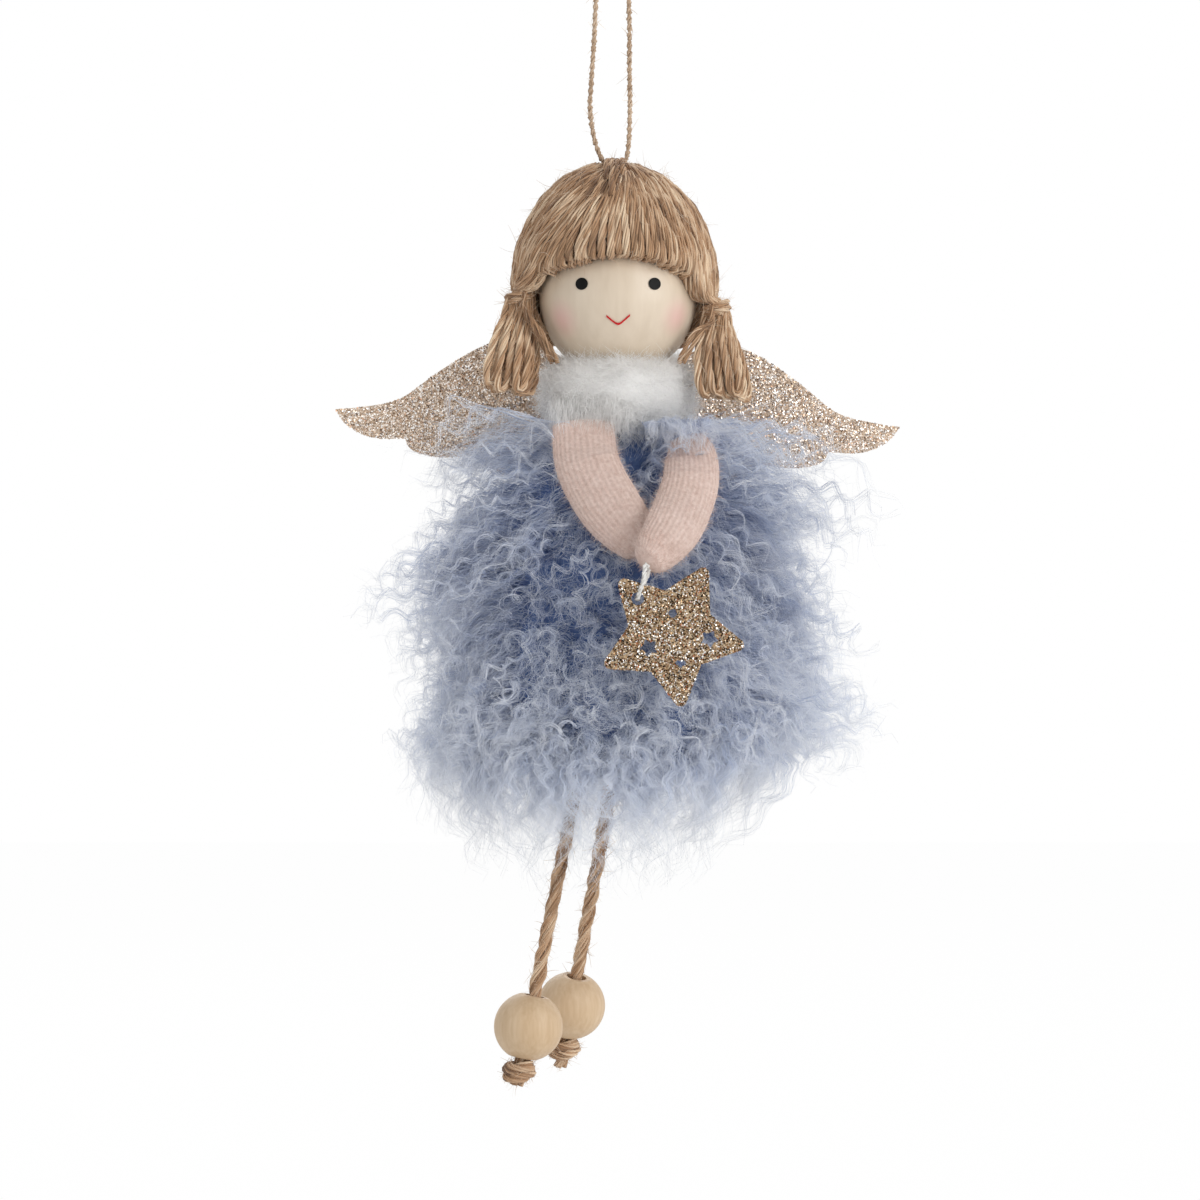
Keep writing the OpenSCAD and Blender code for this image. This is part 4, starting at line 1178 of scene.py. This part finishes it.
# How far along the sleeve is sewn flat, how far it goes up under the scarf, and how long its round ends are
SEWN_LEN = 9
UNDER_SCARF = 2.0
END_ROUND = 1.4
# How little of the sleeve's width is left at its ends, and of its thickness where it is sewn on
END_LEFT = 0.004
SEWN_LEFT = 0.3
NARROWEST = 0.1
# How much of the stitches' relief goes along the sleeve
COURSE_SHARE = 0.25
ARM_GRID = (230, 176)


def arm_rows(name, rows, cols):
    """Rings of points along a sleeve, with the relief of its stitches, and the way out at each point."""
    shares, stack = ARMS[name]
    stops = []
    for across, drop, wide in shares:
        z = SHOULDER_Z - ARM_DROP * drop
        dress = DRESS_HALF_D * np.interp((DRESS_TOP - z) / DRESS_LEN, SHARES, DEPTH_SHARES)
        front = dress + SEAT_GAP + ARM_T / 2
        if drop == 0:
            z += UNDER_SCARF
        y = -front - (ARM_T + SEAT_GAP) * np.interp(drop, *stack)
        stops.append((ARM_REACH * across, y, z, ARM_W * wide))
    smooth = curve_through(stops, rows)
    path, wide = smooth[:, :3], smooth[:, 3]
    tangent = unit(np.gradient(path, axis=0))
    across = unit(np.cross(tangent, (0, -1, 0)))
    out = np.cross(across, tangent)
    along = lengths_along(path[None])[0]
    from_end = np.minimum(along, along[-1] - along)
    rounded = np.sqrt(np.clip(1 - (1 - np.clip(from_end / END_ROUND, 0, 1)) ** 2, END_LEFT, 1))
    angle = np.linspace(0, 2 * math.pi, cols, endpoint=False)
    half_w = (wide / 2 * rounded)[:, None]
    sewn = np.clip(along / SEWN_LEN, SEWN_LEFT, 1)
    path[:, 1] += (1 - sewn) * ARM_T / 2
    half_t = (np.minimum(ARM_T, wide) / 2 * rounded * sewn)[:, None]
    wales = round(math.pi * (ARM_W + ARM_T) / 2 / WALE)
    wale = angle[None] * wales / (2 * math.pi)
    slant = np.abs(wale % 1 - 0.5)
    courses = np.cos(2 * math.pi * (along[:, None] / COURSE + slant))
    relief = np.cos(2 * math.pi * wale) * (1 - COURSE_SHARE + COURSE_SHARE * courses)
    relief = STITCH_DEPTH * relief * rounded[:, None] - STITCH_DEPTH
    ring_w = across[:, None] * np.cos(angle)[None, :, None]
    ring_t = out[:, None] * np.sin(angle)[None, :, None]
    steep_w, steep_t = (ring / np.maximum(half, NARROWEST)[..., None]
                        for ring, half in ((ring_w, half_w), (ring_t, half_t)))
    way = unit(steep_w + steep_t)
    points = path[:, None] + ring_w * half_w[..., None] + ring_t * half_t[..., None]
    points = points + relief[..., None] * way
    return points, way


rng = np.random.default_rng(51)
knit = finish_of("pink_knit", roughness=0.78, Sheen_Weight=0.3)
yarn_shade = noise(knit, scale=1400.0)
patches = noise(knit, scale=140.0)
knit_colour = mixed(
    knit, patches,
    ramp(knit, yarn_shade, (0.25, rgb(194, 168, 156)), (0.75, rgb(220, 199, 188))),
    ramp(knit, yarn_shade, (0.25, rgb(202, 174, 163)), (0.75, rgb(224, 202, 193))),
)
colour(knit, knit_colour)
bump(knit, yarn_shade, strength=0.25, distance=0.0003)
FUZZ_ON_ARM = 4200
ARM_FUZZ_R = 0.025
ARM_FUZZ_LENGTHS = (0.4, 1.5)
ARM_FUZZ_OUT = 0.5
ARM_FUZZ_STRAY = 0.7
ENDS_WITHOUT_FUZZ = 4
for name in ARMS:
    points, way = arm_rows(name, *ARM_GRID)
    arm = grid_object(name + "_arm_knit", points)
    dress_up(arm, knit, "arms", "pink_knit", name + "_arm")
    i = rng.integers(ENDS_WITHOUT_FUZZ, points.shape[0] - ENDS_WITHOUT_FUZZ, FUZZ_ON_ARM)
    j = rng.integers(0, points.shape[1], FUZZ_ON_ARM)
    lean = way[i, j] * ARM_FUZZ_OUT + spread(rng, -1, 1, FUZZ_ON_ARM, 3) * ARM_FUZZ_STRAY
    bend = spread(rng, -0.4, 0.4, FUZZ_ON_ARM, 3)
    hair_size = spread(rng, *ARM_FUZZ_LENGTHS, FUZZ_ON_ARM, 1, 1)
    hairs = bent(points[i, j], hair_size, unit(lean), bend, points=5)
    loose_fibres(name + "_arm_fuzz", rng, hairs, ARM_FUZZ_R, (pink_fuzz, "arms", "pink_knit"))


# The star and the wings: glitter flakes on a sheet

FLAT_FACE = 0.95
FLAKE_TILT = 0.3
FLAKE_LIFTS = (0.04, 0.1)
FLAKE_SIZES = (0.6, 1.2)
FLAKE_CORNERS = ((1, 0), (0, 1), (-1, 0), (0, -1))


def glitter(name, rng, node, per_mm2, flake, look):
    """Small tilted flakes over the two faces of a flat CAD piece."""
    mesh = nodes[node].data
    mesh.calc_loop_triangles()
    corners = np.array([[mesh.vertices[v].co for v in t.vertices] for t in mesh.loop_triangles]) / MM
    cross = np.cross(corners[:, 1] - corners[:, 0], corners[:, 2] - corners[:, 0])
    area = np.linalg.norm(cross, axis=1) / 2
    normal = unit(cross)
    flat = np.abs(normal[:, 1]) > FLAT_FACE
    corners, normal, area = corners[flat], normal[flat], area[flat]
    count = int(area.sum() * per_mm2)
    which = rng.choice(len(area), count, p=area / area.sum())
    a, b = spread(rng, 0, 1, count, 1), spread(rng, 0, 1, count, 1)
    over = (a + b) > 1
    a, b = np.where(over, 1 - a, a), np.where(over, 1 - b, b)
    first = corners[which, 0]
    middle = first + a * (corners[which, 1] - first) + b * (corners[which, 2] - first)
    tilt = unit(normal[which] + rng.normal(0, FLAKE_TILT, (count, 3)))
    middle = middle + normal[which] * spread(rng, *FLAKE_LIFTS, count, 1)
    side = unit(np.cross(tilt, spread(rng, -1, 1, count, 3)))
    up = np.cross(tilt, side)
    half = flake / 2 * spread(rng, *FLAKE_SIZES, count, 1)
    points = np.stack([middle + half * (x * side + y * up) for x, y in FLAKE_CORNERS], axis=1)
    obj = mesh_object(name, points.reshape(-1, 3), np.arange(count * 4).reshape(-1, 4), smooth=False)
    note(obj, "tone", np.repeat(spread(rng, 0, 1, count), 4))
    cell, grid = cells(count)
    low, high = CELL_MARGIN, 1 - CELL_MARGIN
    bake_map(obj, (cell[:, None] + [(low, low), (high, low), (high, high), (low, high)]) / grid)
    dress_up(obj, *look)


def glitter_finish(name, *stops):
    """Metal flakes, each in one of a few colours."""
    material = finish_of(name, roughness=0.32, Metallic=0.9)
    chosen = ramp(material, attribute(material, "tone"), *stops)
    chosen.node.color_ramp.interpolation = "CONSTANT"
    colour(material, chosen)
    return material


def sheet_finish(name, dark, light):
    """The glued sheet under the flakes, with its own fine sparkle."""
    return grained(
        name, 0.6, scale=2200.0, detail=2.0, dark=(0.35, dark), light=(0.65, light), strength=0.5,
        depth=0.0003, Metallic=0.2,
    )


rng = np.random.default_rng(61)
star_flakes = glitter_finish(
    "star_glitter", (0.0, rgb(30, 22, 16)), (0.3, rgb(110, 80, 54)), (0.52, rgb(164, 134, 100)),
    (0.7, rgb(198, 178, 152)), (0.83, rgb(250, 248, 244)), (0.95, rgb(160, 96, 66)),
)
wing_flakes = glitter_finish(
    "wing_glitter", (0.0, rgb(134, 112, 94)), (0.12, rgb(192, 166, 142)), (0.34, rgb(222, 204, 186)),
    (0.6, rgb(240, 230, 220)), (0.82, rgb(252, 250, 248)), (0.96, rgb(206, 164, 136)),
)
star_board = sheet_finish("star_board", rgb(150, 122, 90), rgb(206, 184, 152))
wing_felt = sheet_finish("wing_felt", rgb(190, 158, 128), rgb(232, 212, 190))
glitter("star_flakes", rng, "star", per_mm2=26, flake=0.34, look=(star_flakes, "star", "glitter_board"))
glitter("wing_flakes", rng, "wings", per_mm2=18, flake=0.4, look=(wing_flakes, "doll", "glitter_felt"))

THREAD_D = 1.0
# The thread's loop: its spread across, in depth and in height from the star's hole, and its route in shares
LOOP_SPREAD = (1.2, 1.8, 4.57)
STRING_HOLE = (3.49, -33.85, -121.37)
LOOP_SHARES = [
    (1.2, -0.4, 1.36), (1.08, -0.84, 1.22), (1, -1, 1), (0.9, -1.04, 0.7), (0.5, -1.06, 0.44),
    (0.2, -1.02, 0.2), (0, -0.6, 0.02), (0, 0, 0), (0, 0.6, 0.02), (0.2, 1.02, 0.2), (0.6, 1.06, 0.44),
    (1.1, 1.04, 0.7), (1.6, 1, 1), (1.66, 0.84, 1.22), (1.5, 0.4, 1.36),
]
loop_route = np.array(STRING_HOLE) + np.array(LOOP_SHARES) * LOOP_SPREAD
rope(
    "star_thread", rng, loop_route, THREAD_D, plies=2, ply_pitch=2.6, fibres=6, hairs=40, hair_length=0.8,
    look=(white_thread, "star_loop", "white_thread", "star_loop"), fuzz=white_thread,
)


# The pieces that keep their CAD shape

def repaint(node, material):
    held = nodes[node].data.materials
    held.clear()
    held.append(material)


repaint("star", star_board)
repaint("wings", wing_felt)

wood = finish_of("bare_wood", roughness=0.55, Coat_Weight=0.05)
rings = noise(wood, scale=260.0, detail=3.0, stretch=(1, 1, 0.14))
fine = noise(wood, scale=1500.0, stretch=(1, 1, 0.08))
pale = ramp(wood, rings, (0.3, rgb(198, 168, 132)), (0.5, rgb(208, 180, 146)), (0.7, rgb(216, 190, 158)))
streaks = ramp(wood, fine, (0.3, rgb(190, 160, 124)), (0.7, rgb(218, 194, 162)))
STREAK_SHARE = 0.35
colour(wood, mixed(wood, STREAK_SHARE, pale, streaks))
bump(wood, fine, strength=0.12, distance=0.0002)
for name in ("left_foot_bead", "right_foot_bead"):
    repaint(name, wood)

face = finish_of("painted_wood", roughness=0.42, Coat_Weight=0.12)
brush = noise(face, scale=420.0, detail=3.0, stretch=(1, 1, 0.25))
skin = ramp(face, brush, (0.3, rgb(212, 195, 173)), (0.7, rgb(221, 205, 184)))
CHEEKS = [(-10.6, -9.6, -68.8), (11.2, -9.3, -68.4)]
CHEEK_R = 5.0
BLUSH = 0.45
for cheek in CHEEKS:
    place = add_node(face, "ShaderNodeTexCoord").outputs["Object"]
    away = add_node(
        face, "ShaderNodeVectorMath", {0: place, 1: tuple(c * MM for c in cheek)}, operation="DISTANCE"
    ).outputs["Value"]
    glow = add_node(
        face, "ShaderNodeMapRange", {"Value": away, 1: 0.0, 2: CHEEK_R * MM, 3: BLUSH, 4: 0.0},
        interpolation_type="SMOOTHSTEP",
    ).outputs["Result"]
    skin = mixed(face, glow, skin, rgb(226, 164, 165))
colour(face, skin)
bump(face, brush, strength=0.06, distance=0.0002)
repaint("head_ball", face)


def paint_finish(name, base, other):
    """Brushed glossy paint with a slight change of shade."""
    material = finish_of(name, roughness=0.35, Specular_IOR_Level=0.08)
    colour(material, ramp(material, noise(material, scale=1600.0), (0.35, base), (0.65, other)))
    return material


repaint("painted_eyes", paint_finish("black_paint", rgb(10, 9, 9), rgb(20, 19, 19)))
repaint("painted_smile", paint_finish("red_paint", rgb(186, 34, 40), rgb(206, 52, 54)))


# Stage, light and white background

# Each lamp's place and width in metres, and its power
LAMPS = {
    "key_light": ((0.9, -0.8, 0.24), 0.9, 9.0),
    "fill_light": ((-0.8, -0.7, 0.0), 0.8, 1.2),
    "back_light": ((-0.2, 0.8, 0.5), 0.8, 4.0),
}
LIT_POINT = Vector((0, 0, -0.12))
for name, (place, wide, power) in LAMPS.items():
    lamp = bpy.data.lights.new(name, "AREA")
    lamp.size = wide
    lamp.energy = power
    obj = bpy.data.objects.new(name, lamp)
    obj.location = place
    obj.rotation_euler = (LIT_POINT - Vector(place)).to_track_quat("-Z", "Y").to_euler()
    bpy.context.scene.collection.objects.link(obj)


def white_to_camera(holder):
    """1 for rays that should see the plain white studio, and 0 for light that falls on the doll."""
    path = add_node(holder, "ShaderNodeLightPath").outputs
    seen = maths(holder, "MAXIMUM", path["Is Camera Ray"], path["Is Glossy Ray"])
    return maths(holder, "MAXIMUM", seen, path["Is Transmission Ray"])


AMBIENT = 0.5
world = bpy.data.worlds.new("studio")
bpy.context.scene.world = world
world.use_nodes = True
sky = world.node_tree.nodes["Background"]
sky.inputs["Color"].default_value = (1, 1, 1, 1)
strength = add_node(world, "ShaderNodeMapRange", {"Value": white_to_camera(world), "To Min": AMBIENT})
world.node_tree.links.new(strength.outputs["Result"], sky.inputs["Strength"])

FLOOR_Z = -270
FLOOR_HALF = 2000
FLOOR_WHITE = 0.98
corners = [(x * FLOOR_HALF, y * FLOOR_HALF, FLOOR_Z) for x, y in ((-1, -1), (1, -1), (1, 1), (-1, 1))]
floor = mesh_object("floor", corners, np.array([[0, 1, 2, 3]]))
floor_paint = finish_of("floor_white", roughness=0.9, Base_Color=(0.9, 0.9, 0.9, 1))
floor_share = maths(floor_paint, "MULTIPLY", white_to_camera(floor_paint), FLOOR_WHITE)
blended(floor_paint, floor_share, add_node(floor_paint, "ShaderNodeEmission"))
floor.data.materials.append(floor_paint)
